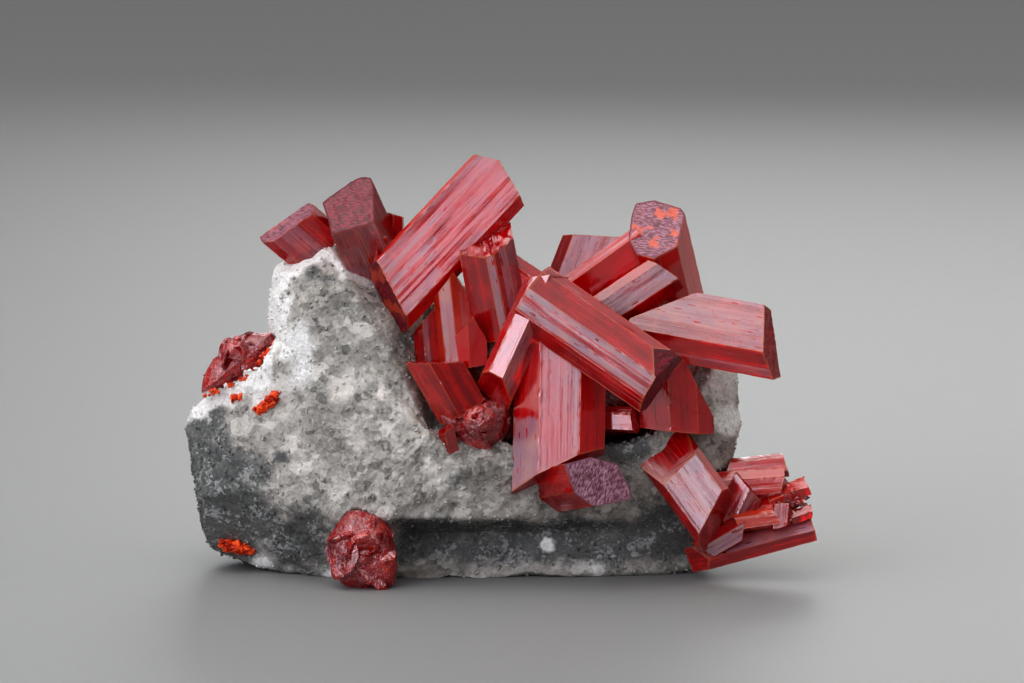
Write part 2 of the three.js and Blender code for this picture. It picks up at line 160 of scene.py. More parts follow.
# %% Lattice noise
def unevenness(points, size):
    """Noise from -1 to 1: the mix of eight corner values, each the fraction of a sine."""
    cell = points / size
    low = np.floor(cell)
    ease = (cell - low) ** 2 * (3 - 2 * (cell - low))
    total = 0
    for corner in range(8):
        step = np.array([corner & 1, corner >> 1 & 1, corner >> 2])
        wave = np.sin((low + step) @ np.array([127.1, 311.7, 74.7])) * 43758.5453
        total = total + np.prod(np.where(step, ease, 1 - ease), axis=-1) * (wave - np.floor(wave))
    return 2 * total - 1


def smooth_step(value, low, high):
    """0 below low, 1 above high, eased between."""
    part = np.clip((value - low) / (high - low), 0, 1)
    return part * part * (3 - 2 * part)


# %% [markdown]
# ## Shaders written as sums
# A material is easier to read as arithmetic than as boxes and wires. A Value wraps one
# socket, so that +, - and * add Math nodes, and a Finish adds any other node by its type.


# %% Socket arithmetic
def put(tree, slot, item):
    """Gives an input its link or its fixed value."""
    if isinstance(item, Value):
        tree.links.new(item.socket, slot)
    else:
        slot.default_value = item


class Value:
    """One socket of a node tree that takes part in Python arithmetic."""

    def __init__(self, tree, socket):
        self.tree, self.socket = tree, socket

    def math(self, operation, *items):
        """One Math node, its inputs in order."""
        node = self.tree.nodes.new("ShaderNodeMath")
        node.operation = operation
        for slot, item in zip(node.inputs, items):
            put(self.tree, slot, item)
        return Value(self.tree, node.outputs[0])

    def __add__(self, other):
        return self.math("ADD", self, other)

    def __sub__(self, other):
        return self.math("SUBTRACT", self, other)

    def __rsub__(self, other):
        return self.math("SUBTRACT", other, self)

    def __mul__(self, other):
        return self.math("MULTIPLY", self, other)

    __radd__, __rmul__ = __add__, __mul__

    def between(self, low, high):
        """0 below low, 1 above high, eased between."""
        node = self.tree.nodes.new("ShaderNodeMapRange")
        node.interpolation_type = "SMOOTHSTEP"
        for slot, item in zip(node.inputs, (self, low, high, 0.0, 1.0)):
            put(self.tree, slot, item)
        return Value(self.tree, node.outputs[0])


# %% [markdown]
# A Finish holds one material. Its methods add the few kinds of nodes that the lesson needs:
# noise, cells, named values of the mesh, stretched coordinates, colour mixes and bumps.


# %% Finishes
class Finish:
    """One material with a Principled shader that the lesson fills in."""

    def __init__(self, name, **constants):
        self.material = bpy.data.materials.new(name)
        self.material.use_nodes = True
        self.tree = self.material.node_tree
        self.shader = self.tree.nodes["Principled BSDF"]
        self.output = self.tree.nodes["Material Output"]
        for key, value in constants.items():
            self.shader.inputs[key.replace("_", " ")].default_value = value

    def add(self, kind, settings, inputs, output=0):
        """Adds a node: its settings first, then input values or links."""
        node = self.tree.nodes.new(kind)
        for key, value in settings.items():
            setattr(node, key, value)
        for key, item in inputs.items():
            put(self.tree, node.inputs[key], item)
        return Value(self.tree, node.outputs[output])

    def noise(self, where, scale, detail=3.0, rough=0.55):
        """Cloudy noise from 0 to 1."""
        inputs = {"Vector": where, "Scale": scale, "Detail": detail, "Roughness": rough}
        return self.add("ShaderNodeTexNoise", {}, inputs)

    def cells(self, where, scale, output=0, feature="F1"):
        """Cells round random points: output 0 is a distance, output 1 a random colour."""
        settings = {"feature": feature}
        return self.add("ShaderNodeTexVoronoi", settings, {"Vector": where, "Scale": scale}, output)

    def warped(self, where, scale, reach):
        """The coordinate pushed about by coloured noise, so that cells get frayed edges."""
        shift = self.add("ShaderNodeTexNoise", {}, {"Vector": where, "Scale": scale}, 1)
        inputs = {0: shift, 1: (reach, reach, reach), 2: where}
        return self.add("ShaderNodeVectorMath", {"operation": "MULTIPLY_ADD"}, inputs)

    def named(self, key):
        """The value of this name that the mesh carries at its points."""
        return self.add("ShaderNodeAttribute", {"attribute_name": key}, {}, 2)

    def stretched(self, where, across, along, shift=0.0):
        """The same coordinate with its own scale on each axis."""
        settings = {"operation": "MULTIPLY_ADD"}
        inputs = {0: where, 1: (across, along, 1.0), 2: (shift, shift, shift)}
        return self.add("ShaderNodeVectorMath", settings, inputs)

    def mix(self, share, first, second):
        settings = {"data_type": "RGBA"}
        return self.add("ShaderNodeMix", settings, {0: share, 6: first, 7: second}, 2)

    def bump(self, height, strength, distance):
        inputs = {"Height": height, "Strength": strength, "Distance": distance}
        return self.add("ShaderNodeBump", {}, inputs)

    def drive(self, **links):
        """Feeds inputs of the shader."""
        for key, item in links.items():
            put(self.tree, self.shader.inputs[key.replace("_", " ")], item)

    def finished(self):
        print(self.material.name, "has", len(self.tree.nodes), "nodes")
        return self.material

    def fill(self, colour, density):
        """Absorption inside the piece: what the colour lacks is taken off with depth."""
        absorb = self.tree.nodes.new("ShaderNodeVolumeAbsorption")
        absorb.inputs["Color"].default_value = (*colour, 1)
        absorb.inputs["Density"].default_value = density
        self.tree.links.new(absorb.outputs[0], self.output.inputs["Volume"])


# %% [markdown]
# ## Clear red realgar
# Realgar is a clear, deep red crystal with a very high refractive index, so its faces shine
# like resin and show pale veils of reflected light. The side faces carry fine stripes
# along the crystal. The material therefore works in the UV map, where x runs round the
# crystal and y along it, and stretches its noise along y. Where the mesh carries painted
# sheen, pale veils of reflected light are painted into the colour, with red dashes left in
# them. Near the edges an orange glow is painted in.

# %% Finish of the prism faces
RED_GLASS = {"Transmission_Weight": 0.6, "IOR": 2.5, "Specular_IOR_Level": 0.13}
RED_BODY = ((0.97, 0.03, 0.0), 350)  # colour that passes, and density to a metre


def prism_finish():
    finish = Finish("realgar_prism_face", **RED_GLASS)
    where = finish.add("ShaderNodeUVMap", {"uv_map": "along"}, {})
    fine = finish.noise(finish.stretched(where, 6.5, 0.05), 1.0, 4.0, 0.6)
    mark = finish.noise(finish.stretched(where, 3.4, 0.22, 5.7), 1.0, 3.0).between(0.62, 0.72)
    broad = finish.noise(finish.stretched(where, 0.9, 0.05, 7.3), 1.0, 2.0)
    cloud = finish.noise(finish.stretched(where, 0.5, 0.3, 3.1), 1.0, 3.0)
    deep, glow = (0.48, 0.0, 0.006, 1), (1.0, 0.0, 0.008, 1)
    lines = finish.noise(finish.stretched(where, 2.6, 0.025, 11.9), 1.0, 3.0, 0.7)
    lines = lines.between(0.5, 0.57)
    tone = finish.named("tone") * 0.3 - 0.15
    painted_sheen = finish.named("painted_sheen")
    # painted reflection: pale veils painted where the sheen bands lie, broken by noise and dashes
    painted_veil = (painted_sheen + broad * 1.1 + fine * 0.2 + lines * 0.06 - 0.77).between(0.05, 0.7)
    dash = finish.noise(finish.stretched(where, 2.6, 0.55, 2.3), 1.0, 1.0).between(0.66, 0.7)
    painted_veil = painted_veil * painted_sheen.between(0, 0.1) * (1 - mark * 0.8) * (1 - dash)
    share = (fine * 0.12 + broad * 0.6 + cloud * 0.7 + lines * 0.1 + tone).between(0.45, 1.0)
    # painted glow: orange painted near corners and ends, where light passing through would gather
    rim = (finish.named("edge") * 1.1 * (fine + 0.3)).between(0.35, 0.9)
    amber = (finish.named("amber") * 0.8 + broad * 0.6 + cloud * 0.3).between(0.75, 1.25)
    red = finish.mix(amber, finish.mix(share, deep, glow), (1.0, 0.07, 0.01, 1))
    # lavender to pink colours of the painted reflection veils
    pale = finish.mix(cloud.between(0.35, 0.65), (0.68, 0.54, 0.67, 1), (0.86, 0.66, 0.64, 1))
    red = finish.mix(painted_veil * 0.68, red, pale)
    finish.drive(
        Base_Color=finish.mix(rim * 0.7, red, (1.0, 0.22, 0.07, 1)),
        Roughness=cloud * 0.12 + fine * 0.06 + mark * 0.15 + painted_veil * 0.12,
        Normal=finish.bump(fine * 0.5 + lines * 0.3 + broad * 0.3 - mark * 0.4, 0.25, 0.06e-3),
    )
    finish.fill(*RED_BODY)
    return finish.finished()


realgar_face = prism_finish()

# %% [markdown]
# The ends of several crystals aren't flat faces but rough, etched ground with short dashes,
# which scatters the light to a dull mauve red.


# %% Finish of the rough ends
def rough_end_finish():
    finish = Finish("realgar_rough_end", Transmission_Weight=0.2, IOR=2.5, Specular_IOR_Level=0.1)
    where = finish.add("ShaderNodeUVMap", {"uv_map": "along"}, {})
    turned = finish.add(
        "ShaderNodeVectorRotate", {"rotation_type": "Z_AXIS"}, {"Vector": where, "Angle": 0.9}
    )
    dashes = finish.noise(finish.stretched(turned, 5.2, 1.4), 1.0, 2.0)
    tone = finish.noise(where, 0.7)
    share = (dashes * 1.5 + tone * 0.4).between(0.8, 1.1)
    spots = finish.noise(where, 0.5, 3.0).between(0.52, 0.6) * finish.named("amber")
    light = finish.mix(finish.named("mauve"), (0.3, 0.0, 0.02, 1), (0.5, 0.26, 0.34, 1))
    shade = finish.mix(finish.named("mauve"), (0.1, 0.0, 0.003, 1), (0.19, 0.05, 0.08, 1))
    mauve = finish.mix(share, shade, light)
    finish.drive(
        Base_Color=finish.mix(spots * 1.2, mauve, (0.9, 0.14, 0.03, 1)),
        Roughness=dashes * 0.25 + 0.3,
        Normal=finish.bump(dashes, 0.9, 0.12e-3),
    )
    return finish.finished()


realgar_end = rough_end_finish()

# %% [markdown]
# ## Growing one crystal
# A crystal is a cross-section carried straight along its run and cut by flat end faces.
# Real side faces are not smooth: they are made of many narrow strips that lean a little
# against each other, and each strip reflects another part of the room. So the outline is
# moved inwards by a chain of short slopes before it's carried along. A sheen value marks the
# sides on which pale reflection is painted.

# %% Outline, stripes and ends
rng = np.random.default_rng(7)
RING_STEP = 1.25  # units between two points of a ring
SIDE_ROWS = 24  # rings from foot to tip
STRIP_FADE = (7, 38)  # units round and along in which a strip comes and goes
NICK_SIZE = (9, 2.4)  # units round and along of a nick
NICK_DEPTH = 1.1  # units by which a nick may bite into a corner
WHOLE_FACE = (-40, 400, 0, 1)  # from and to along the run, from and to across the side
UV_UNIT = 0.12  # millimetres of the UV map to one unit


def stripes(length, around, rng):
    """Heights along a closed outline: straight slopes between randomly spaced edges."""
    edges = np.sort(rng.uniform(0, length, max(4, int(length / 5))))
    heights = rng.uniform(0, 1, len(edges)) ** 1.5
    return np.interp(around, edges, heights, period=length)


def ring_of(section, step):
    """Points round a polygon about step apart, their outward normals, side and share of it."""
    corners = np.array(section, float)
    following = np.roll(corners, -1, axis=0)
    side = following - corners
    turn = np.sign(np.sum(corners[:, 0] * following[:, 1] - following[:, 0] * corners[:, 1]))
    points, normals, marks, parts = [], [], [], []
    for index, (start, edge) in enumerate(zip(corners, side)):
        length = np.hypot(*edge)
        count = max(2, int(round(length / step)))
        points.append(start + edge * (np.arange(count) / count)[:, None])
        normals.append(np.tile(turn * np.array([edge[1], -edge[0]]) / length, (count, 1)))
        marks.append(np.full(count, index))
        parts.append(np.arange(count) / count)
    return *(np.concatenate(item) for item in (points, normals, marks, parts)), turn


def crystal_axes(spec):
    """Where the run starts, and the ways across, outwards and along it."""
    start, aim = place(*spec["foot"]), place(*spec["to"])
    run = (aim - start) / np.linalg.norm(aim - start)
    across = np.cross(run, NEAR)
    across /= np.linalg.norm(across)
    return start, across, np.cross(across, run), run


def end_along(uv, faces, side, ragged, offset):
    """Where an end cuts the run: the lowest of its sloping planes, less ragged noise."""
    planes = [s + a * uv[..., 0] + b * uv[..., 1] for s, a, b in faces]
    flat = np.min(planes, axis=0) if side > 0 else np.max(planes, axis=0)
    spot = np.stack([uv[..., 0], uv[..., 1], np.full(uv.shape[:-1], offset)], -1) + 500
    rough = unevenness(spot * np.array([1, 0.45, 1]), 3.2) + 0.6 * unevenness(spot, 9)
    return flat - side * ragged * (1 + rough)


def crystal_faces(rows, columns, turn):
    """Quads between the rings and one flat face at each end, all facing outwards."""
    ring = np.arange(columns)[None]
    faces = [grid_faces(rows, columns), ring[:, ::-1], ring + (rows - 1) * columns]
    return [part[:, ::-1] for part in faces] if turn > 0 else faces


def painted_sheen_value(along, side_of, part_of, painted_sheen_bands):
    """Strength of the bands of painted reflection, each on one side and between two places on it.
    """
    painted_sheen = np.zeros(along.shape)
    for entry in painted_sheen_bands:
        side, strength, begin, end, near, far = (*entry, *WHOLE_FACE[len(entry) - 2 :])
        part = (side_of == side) * (part_of >= near) * (part_of <= far)
        part = part * smooth_step(along, begin - 2, begin + 2)
        painted_sheen += strength * part * (1 - smooth_step(along, end - 2, end + 2))
    return painted_sheen


# %% [markdown]
# A crystal is then one grid: rings along the sides, and rings that shrink over both ends.
# Nicks bite into its corners. The edge value tells the finish where to paint an orange glow
# near corners and ends, and the sheen value the sides on which pale reflection is painted.


# %% The crystal surface
def crystal_arrays(spec, rng, caps, ragged, end_slot, depth, painted_sheen_bands):
    """Rings of points: along the sides from foot to tip, then shrinking over both ends."""
    start, across, out, run = crystal_axes(spec)
    ring, normals, side_of, part_of, turn = ring_of(spec["section"], RING_STEP)
    length = np.hypot(*(np.roll(ring, -1, axis=0) - ring).T)
    around = np.cumsum(length) - length
    middle = ring.mean(axis=0)
    offset = int(rng.integers(0, 1000))

    def end_at(uv, end, side):
        return end_along(uv, spec[end], side, ragged, offset)

    section = np.array(spec["section"])
    corners = np.append(0, np.cumsum(np.hypot(*(np.roll(section, -1, 0) - section).T)))
    to_corner = np.abs(around[:, None] - corners[None, :]).min(axis=1)
    girth = around[-1] + length[-1]
    share = np.linspace(0, 1, SIDE_ROWS)[:, None]
    low, high = end_at(ring, "feet", -1), end_at(ring, "tips", 1)
    along = low * (1 - share) + high * share
    spot = (around / STRIP_FADE[0], along / STRIP_FADE[1], float(offset))
    spot = np.stack(np.broadcast_arrays(*spot), -1)
    fade = smooth_step(unevenness(spot, 1), -0.9, 0.5)
    groove = stripes(girth, around, rng) * depth * fade
    spot = (around / NICK_SIZE[0], along / NICK_SIZE[1], offset + 7.5)
    spot = np.stack(np.broadcast_arrays(*spot), -1)
    nick = NICK_DEPTH * np.maximum(unevenness(spot, 1) - 0.05, 0) * np.exp(-to_corner / 1.1)
    sides = ring - normals * (groove + nick)[..., None]
    body = np.concatenate([sides, along[..., None]], axis=-1)
    low, high = body[0, :, 2], body[-1, :, 2]
    shrink = np.linspace(1, 0.02, caps + 1)[1:, None, None]
    foot = middle + (sides[0] - middle) * shrink
    tip = middle + (sides[-1] - middle) * shrink
    foot_cap = np.concatenate([foot, end_at(foot, "feet", -1)[..., None]], axis=-1)[::-1]
    tip_cap = np.concatenate([tip, end_at(tip, "tips", 1)[..., None]], axis=-1)
    rings = np.concatenate([foot_cap, body, tip_cap])
    points = start + UNIT * (
        rings[..., :1] * across + rings[..., 1:2] * out + rings[..., 2:] * run
    )
    to_end = np.minimum(rings[..., 2] - low, high - rings[..., 2])
    # edge: where the finish paints an orange glow, near corners and ends
    edge = np.maximum(np.exp(-to_corner / 1.0), np.exp(-np.maximum(to_end, 0) / 1.4))
    edge[:caps], edge[-caps:] = 0, 0
    painted_sheen = painted_sheen_value(rings[..., 2], side_of, part_of, painted_sheen_bands)
    painted_sheen[:caps], painted_sheen[-caps:] = 0, 0
    uv = np.stack([np.broadcast_to(around, rings.shape[:2]), rings[..., 2]], -1)
    uv[:caps], uv[-caps:] = rings[:caps, :, :2], rings[-caps:, :, :2]
    uv = uv * UV_UNIT + offset
    row_slot = np.full(len(rings) - 1, end_slot)
    row_slot[caps : caps + SIDE_ROWS - 1] = 0
    slots = np.concatenate([np.repeat(row_slot, len(ring)), [end_slot, end_slot]])
    faces = crystal_faces(len(rings), len(ring), turn)
    return points.reshape(-1, 3), faces, uv.reshape(-1, 2), slots, edge.ravel(), painted_sheen.ravel()


# %% [markdown]
# ## The crystals, one by one
# Each entry holds where the run starts and what it aims at, the cross-section as pairs
# across and out, and the end faces as a distance along the run with two slopes, first at
# the tip, then at the foot where that isn't flat.


# %% Tables of the crystals
def crystal(foot, to, section, tips, feet=((0, 0, 0),)):
    """One crystal: places of the foot and of the aim, cross-section, end faces."""
    return {"foot": foot, "to": to, "section": section, "tips": tips, "feet": feet}


MAIN_CRYSTALS = {
    "tall_blade": crystal(
        (394, 294, 85), (501, 180, 85),
        [(-34, 14), (25, 14), (35, 3), (35, -8), (26, -16), (-28, -16), (-37, -8), (-37, 8)],
        [(175.5, 0.56, 0.1), (164, -0.3, 0.1)], [(-6.6, -0.34, 0.5)],
    ),
    "broken_top": crystal(
        (500, 340, 80), (482, 245, 100),
        [(-24, 4), (2, 22), (10, 22), (32, 6), (32, -14), (-24, -14)], [(102, 0.15, -0.5)],
    ),
    "top_step": crystal(
        (492, 258, 78), (540, 290, 78), [(-16, 4), (-6, 14), (10, 12), (14, -8), (-16, -10)],
        [(50, 0, 0.3)],
    ),
    "pale_upright": crystal(
        (455, 368, 78), (446, 283, 88),
        [(-14, 2), (-8, 16), (5, 20), (26, 4), (26, -14), (-14, -14)],
        [(88, 1.1, 0), (118, -2.2, 0)],
    ),
    "red_block": crystal(
        (470, 364, 88), (468, 318, 98), [(-15, 6), (0, 18), (18, 8), (18, -14), (-15, -14)],
        [(43, 1, 0.1), (60, -1.9, 0.1)],
    ),
    "back_striped": crystal(
        (430, 364, 66), (425, 305, 70), [(-14, 4), (-4, 14), (12, 10), (14, -14), (-14, -12)],
        [(46, 0.95, 0.1)],
    ),
    "left_short": crystal(
        (457, 410, 98), (432, 366, 106), [(-21, 0), (0, 18), (30, 4), (30, -15), (-21, -15)],
        [(57, -0.55, 0.1)], [(-6, 0, 0)],
    ),
    "knob_chip": crystal(
        (452, 452, 106), (446, 424, 114), [(-9, 0), (-2, 8), (8, 4), (9, -8), (-8, -8)],
        [(27, 0.4, 0)],
    ),
    "leaning": crystal(
        (502, 377, 110), (543, 287, 112),
        [(-20, 4), (-14, 12), (1, 18), (19, 2), (19, -14), (-20, -14)],
        [(108, 0.5, 0.2)], [(-14, -0.33, 0.8)],
    ),
    "front_diagonal": crystal(
        (533, 290, 112), (650, 371, 138),
        [(-28, 2), (-20, 14), (2, 21), (27, 15), (40, 0), (34, -14), (-28, -14)],
        [(158, 0, -0.15), (196, 1.5, -2.2)], [(0, 0, -0.1)],
    ),
    "upright": crystal(
        (546, 482, 104), (549, 345, 100),
        [(-34, 0), (-9, 20), (32, 20), (57, 2), (57, -25), (-34, -25)],
        [(140, 0, 0)], [(7, 0.49, 0.3)],
    ),
    "rough_ended": crystal(
        (545, 493, 40), (598, 481, 135),
        [(-26, 32), (-27, 2), (-14, -25), (16, -33), (23, -32), (22, 3), (21, 12), (3, 29)],
        [(109, 0.02, -0.05)],
    ),
    "back_pale": crystal(
        (570, 305, 26), (594, 243, 26), [(-32, 0), (-22, 12), (28, 10), (28, -14), (-32, -12)],
        [(74, 0.33, 0.1)],
    ),
    "long_red": crystal(
        (577, 288, 44), (640, 243, 50), [(-17, 0), (-8, 13), (18, 8), (20, -12), (-17, -12)],
        [(84, 0, 0)], [(-8, 0, 0)],
    ),
    "blunt_ended": crystal(
        (684, 322, -40), (658, 228, 60), [
            (-14, -41), (4, -38), (28, -16), (30, -7), (13, 32), (-7, 36),
            (-13, 38), (-28, 25), (-32, 4), (-22, -26),
        ], [(140, 0.05, -0.05)],
    ),
    "mid_pale": crystal(
        (605, 303, 74), (662, 265, 76),
        [(-12, 4), (-4, 12), (20, 12), (31, -2), (28, -14), (-12, -12)],
        [(63, 0.4, 0.3)], [(-8, 0, 0)],
    ),
    "broad_right": crystal(
        (640, 325, 88), (760, 347, 96), [(-42, -10), (5, 16), (30, 0), (26, -22), (-38, -26)],
        [(129, 0.36, -0.35)], [(-12, 0, 0), (-19, -1.6, 0)],
    ),
    "dark_wedge": crystal(
        (678, 437, 78), (674, 370, 84),
        [(-38, 0), (-8, 14), (20, 12), (36, -2), (36, -22), (-38, -20)],
        [(70, 1, 0.1), (98, -2.2, 0.1)], [(6, -0.15, 0)],
    ),
    "small_behind": crystal(
        (596, 418, 76), (636, 420, 86),
        [(-13, 2), (-6, 10), (10, 10), (13, -2), (8, -10), (-13, -10)], [(40, 0.2, -0.2)],
    ),
}
SPUR_CRYSTALS = {
    "spur_large": crystal(
        (378, 268, 20), (351, 206, 78), [
            (-25, -23), (9, -33), (20, -33), (29, -27), (30, -18),
            (16, 37), (-3, 34), (-29, 27), (-26, 2),
        ], [(89, 0.03, -0.05)],
    ),
    "spur_small": crystal(
        (322, 254, 40), (288, 225, 54),
        [(-30, 0), (-22, 10), (24, 10), (32, 0), (30, -12), (-28, -12)], [(48, -0.26, -0.3)],
    ),
    "spur_behind": crystal(
        (394, 262, 14), (394, 214, 20), [(-8, 0), (-2, 8), (8, 6), (9, -8), (-8, -8)],
        [(49, -0.3, 0.1)],
    ),
    "spur_rhomb": crystal(
        (378, 268, 62), (378, 242, 76), [(-10, 0), (0, 10), (10, 0), (0, -12)], [(33, 0.2, 0)],
    ),
}
LOW_CRYSTALS = {
    "low_broad": crystal(
        (655, 440, 72), (713, 520, 90),
        [(-31, 2), (-24, 13), (20, 16), (27, 4), (26, -18), (-31, -18)],
        [(100, 0.53, -0.4)], [(6.7, 0, 2.3), (-8, 0.4, 0)],
    ),
    "low_long": crystal(
        (700, 560, 66), (814, 530, 62), [(-15, -6), (0, 12), (11, 6), (11, -14), (-15, -18)],
        [(118, 0, 0)], [(0, 0, 0.67)],
    ),
    "low_plate": crystal(
        (722, 474, 40), (790, 467, 40),
        [(-14, -6), (-10, 6), (4, 10), (10, 0), (8, -12), (-12, -12)],
        [(66, 0.2, 0)], [(4, -0.5, 0)],
    ),
    "low_block": crystal(
        (716, 487, 54), (788, 482, 54),
        [(-15, 0), (-6, 12), (10, 12), (16, 0), (14, -16), (-15, -16)], [(66, -0.3, 0.1)],
    ),
    "low_red": crystal(
        (722, 518, 62), (790, 510, 58), [(-18, -4), (-4, 10), (12, 6), (14, -14), (-18, -14)],
        [(66, 0.1, 0.1)],
    ),
    "low_wedge": crystal(
        (735, 518, 68), (752, 482, 74), [(-20, 0), (0, 9), (16, 0), (14, -14), (-18, -14)],
        [(34, -0.4, 0)],
    ),
    "low_chip": crystal(
        (770, 505, 56), (802, 492, 58), [(-14, 0), (-4, 9), (10, 6), (12, -8), (-12, -10)],
        [(38, -0.4, 0)],
    ),
    "low_orange_block": crystal(
        (735, 523, 74), (778, 517, 74), [(-11, 0), (-6, 8), (6, 8), (9, 0), (8, -10), (-8, -10)],
        [(44, 0.3, 0)], [(0, 0.5, 0)],
    ),
    "low_pale_chip": crystal(
        (782, 502, 72), (780, 528, 74), [(-9, 0), (-6, 6), (8, 6), (10, 0), (8, -8), (-8, -8)],
        [(26, 0.3, 0)], [(0, 0.2, 0)],
    ),
    "low_small_end": crystal(
        (788, 492, 62), (808, 487, 62), [(-8, 0), (0, 7), (8, 3), (8, -8), (-8, -8)],
        [(21, 0.2, 0)],
    ),
    "low_right_chip": crystal(
        (790, 518, 66), (812, 511, 65), [(-7, 0), (0, 5), (7, 2), (6, -8), (-6, -8)],
        [(23, -0.2, 0)],
    ),
    "low_striated": crystal(
        (704, 550, 72), (748, 524, 76), [(-13, -2), (-4, 8), (10, 6), (12, -8), (-10, -12)],
        [(46, -0.8, 0)], [(0, 0.6, 0)],
    ),
}
print("crystals:", len(MAIN_CRYSTALS), len(SPUR_CRYSTALS), len(LOW_CRYSTALS))

# %% [markdown]
# The crystals don't look alike. Some end in rough ground, some in a jagged break, some are
# warmed by an orange tint. Pale bands of painted reflection lie on single sides only, so each
# band names its side, a strength and, where needed, how far it reaches along and across that
# side.

# %% Looks of single crystals
FINE_CAPS, PLAIN_CAPS = 18, 5  # rings over an end that is rough, and over one that is flat
# crystals that end in rough ground
ROUGH_ENDED = {
    "spur_large", "rough_ended", "blunt_ended", "tall_blade", "spur_small", "front_diagonal",
}
# share of mauve on a rough end
MAUVE = {"spur_large": 0.1, "rough_ended": 1.0, "blunt_ended": 0.7, "spur_small": 0.5}
# depth of the side strips in units
STRIPED = {
    "tall_blade": 0.5, "front_diagonal": 0.8, "broad_right": 0.4, "mid_pale": 0.4, "low_long": 0.5,
    "back_striped": 0.5, "low_striated": 0.5, "long_red": 0.3, "low_broad": 0.25,
    "pale_upright": 0.3,
}
# painted reflection bands: side and strength, then from and to along the run, from and to across
# the side
PAINTED_SHEEN = {
    "tall_blade": [
        (0, 0.35), (0, 0.4, -20, 70, 0.4, 0.5), (0, 0.35, -20, 64, 0.58, 0.64),
        (0, 0.45, -20, 48, 0.8, 1), (0, 0.35, -20, 90, 0.2, 0.26),
    ],
    "front_diagonal": [
        (1, 0.08), (2, 0.75, -20, 300, 0, 0.24), (2, 0.5, 20, 300, 0.32, 0.42),
        (2, 0.75, -20, 300, 0.58, 0.9),
    ],
    "broad_right": [
        (0, 0.55), (1, 0.5, -40, 140, 0.62, 0.92), (1, 0.35, 10, 140, 0.25, 0.33),
    ],
    "upright": [(0, 0.9, -40, 64), (1, 0.4)],
    "leaning": [(1, 0.3), (2, 0.45)],
    "low_broad": [(1, 0.5)],
    "low_long": [(0, 0.85)],
    "low_striated": [(1, 0.7)],
    "mid_pale": [(1, 0.6)],
    "long_red": [(0, 0.4)],
    "back_pale": [(1, 0.6)],
    "spur_small": [(1, 0.5, -40, 200, 0, 0.6)],
    "spur_large": [(5, 0.5), (6, 0.5)],
    "pale_upright": [(1, 0.7), (2, 0.5, -40, 200, 0.3, 0.8)],
    "broken_top": [(1, 0.7), (2, 0.5, -40, 200, 0.2, 1)],
    "top_step": [(1, 0.4)],
    "back_striped": [(1, 0.5, -40, 200, 0, 0.4)],
    "low_wedge": [(1, 0.4)],
}
# share of bright red
TONE = {
    "red_block": 1.5, "dark_wedge": 0.9, "blunt_ended": 1.3, "low_block": 1.5, "low_red": 1.5,
    "long_red": 1.3, "upright": 1.0, "broken_top": 0.2, "left_short": 0.3,
}
# units by which the ends are ragged
RAGGED = {
    "broken_top": 2.2, "low_chip": 1.4, "left_short": 1.2, "knob_chip": 1.5, "top_step": 0.8,
    "low_orange_block": 1.4, "low_pale_chip": 1.0, "low_right_chip": 1.0,
}
# strength of the orange tint
AMBER = {
    "pale_upright": 0.9, "low_orange_block": 1.0, "low_block": 0.55, "low_red": 0.45,
    "left_short": 0.45, "upright": 0.4, "blunt_ended": 0.55, "tall_blade": 0.3,
    "low_chip": 0.6, "broad_right": 0.35, "spur_small": 0.3, "low_plate": 0.3,
}
print("crystals with pale bands:", len(PAINTED_SHEEN))

# %% [markdown]
# One loop grows them all. Tone is the share of bright red, and it's drawn at random for the
# crystals that have no entry.

# %% Grow them
for node, crystals in (
    ("main_crystal_cluster", MAIN_CRYSTALS),
    ("spur_crystals", SPUR_CRYSTALS),
    ("lower_right_crystals", LOW_CRYSTALS),
):
    for name, spec in crystals.items():
        rough = name in ROUGH_ENDED
        arrays = crystal_arrays(
            spec, rng, caps=FINE_CAPS if rough or name in RAGGED else PLAIN_CAPS,
            ragged=RAGGED.get(name, 0.6 if rough else 0.25), end_slot=int(rough),
            depth=STRIPED.get(name, 0.15), painted_sheen_bands=PAINTED_SHEEN.get(name, ()),
        )
        points, faces, uv, slots, edge, painted_sheen = arrays
        tone = rng.uniform()
        values = {
            "edge": edge,
            "painted_sheen": painted_sheen,
            "tone": np.full(len(points), TONE.get(name, tone)),
            "amber": np.full(len(points), AMBER.get(name, 0.0)),
            "mauve": np.full(len(points), MAUVE.get(name, 0.0)),
        }
        piece = build_piece(name, points, faces, uv=uv, values=values, slots=slots)
        belongs(piece, node, "realgar_crystal", realgar_face, realgar_end)
        print(name, len(points), "points")

# %% [markdown]
# ## Lumps
# A lump is a rounded box that fills an outline of the front view, and each direction from
# its centre has a reach. The rock, the red body between the crystals and the broken pieces
# of realgar are all made this way.


# %% Directions and reach
def directions(columns, rows, forward=1.0):
    """Unit directions on rings about the nearness axis, closer together at the front."""
    bearing = np.arange(columns) * 2 * np.pi / columns
    tilt = np.linspace(0, 1, rows + 2)[1:-1] ** forward * np.pi
    side = np.sin(tilt)[:, None]
    return np.stack([side * np.cos(bearing), side * np.sin(bearing),
                     np.broadcast_to(np.cos(tilt)[:, None], (rows, columns))], axis=-1)


def outline_reach(outline, centre, bearing):
    """Distance to the outline at a bearing, straight between its points."""
    spot = np.array(outline, float) - np.array(centre[:2])
    return np.interp(bearing, np.arctan2(-spot[:, 1], spot[:, 0]), np.hypot(*spot.T),
                     period=2 * np.pi)


def lump_reach(ways, outline, centre, front, back, bulge):
    """Solves (side / outline)^bulge + (depth / thickness)^bulge = 1 for the reach."""
    bearing = np.arctan2(ways[..., 1], ways[..., 0])
    side = np.hypot(ways[..., 0], ways[..., 1]) / outline_reach(outline, centre, bearing)
    depth = np.abs(ways[..., 2]) / np.where(ways[..., 2] > 0, front, back)
    return (side**bulge + depth**bulge) ** (-1 / bulge)


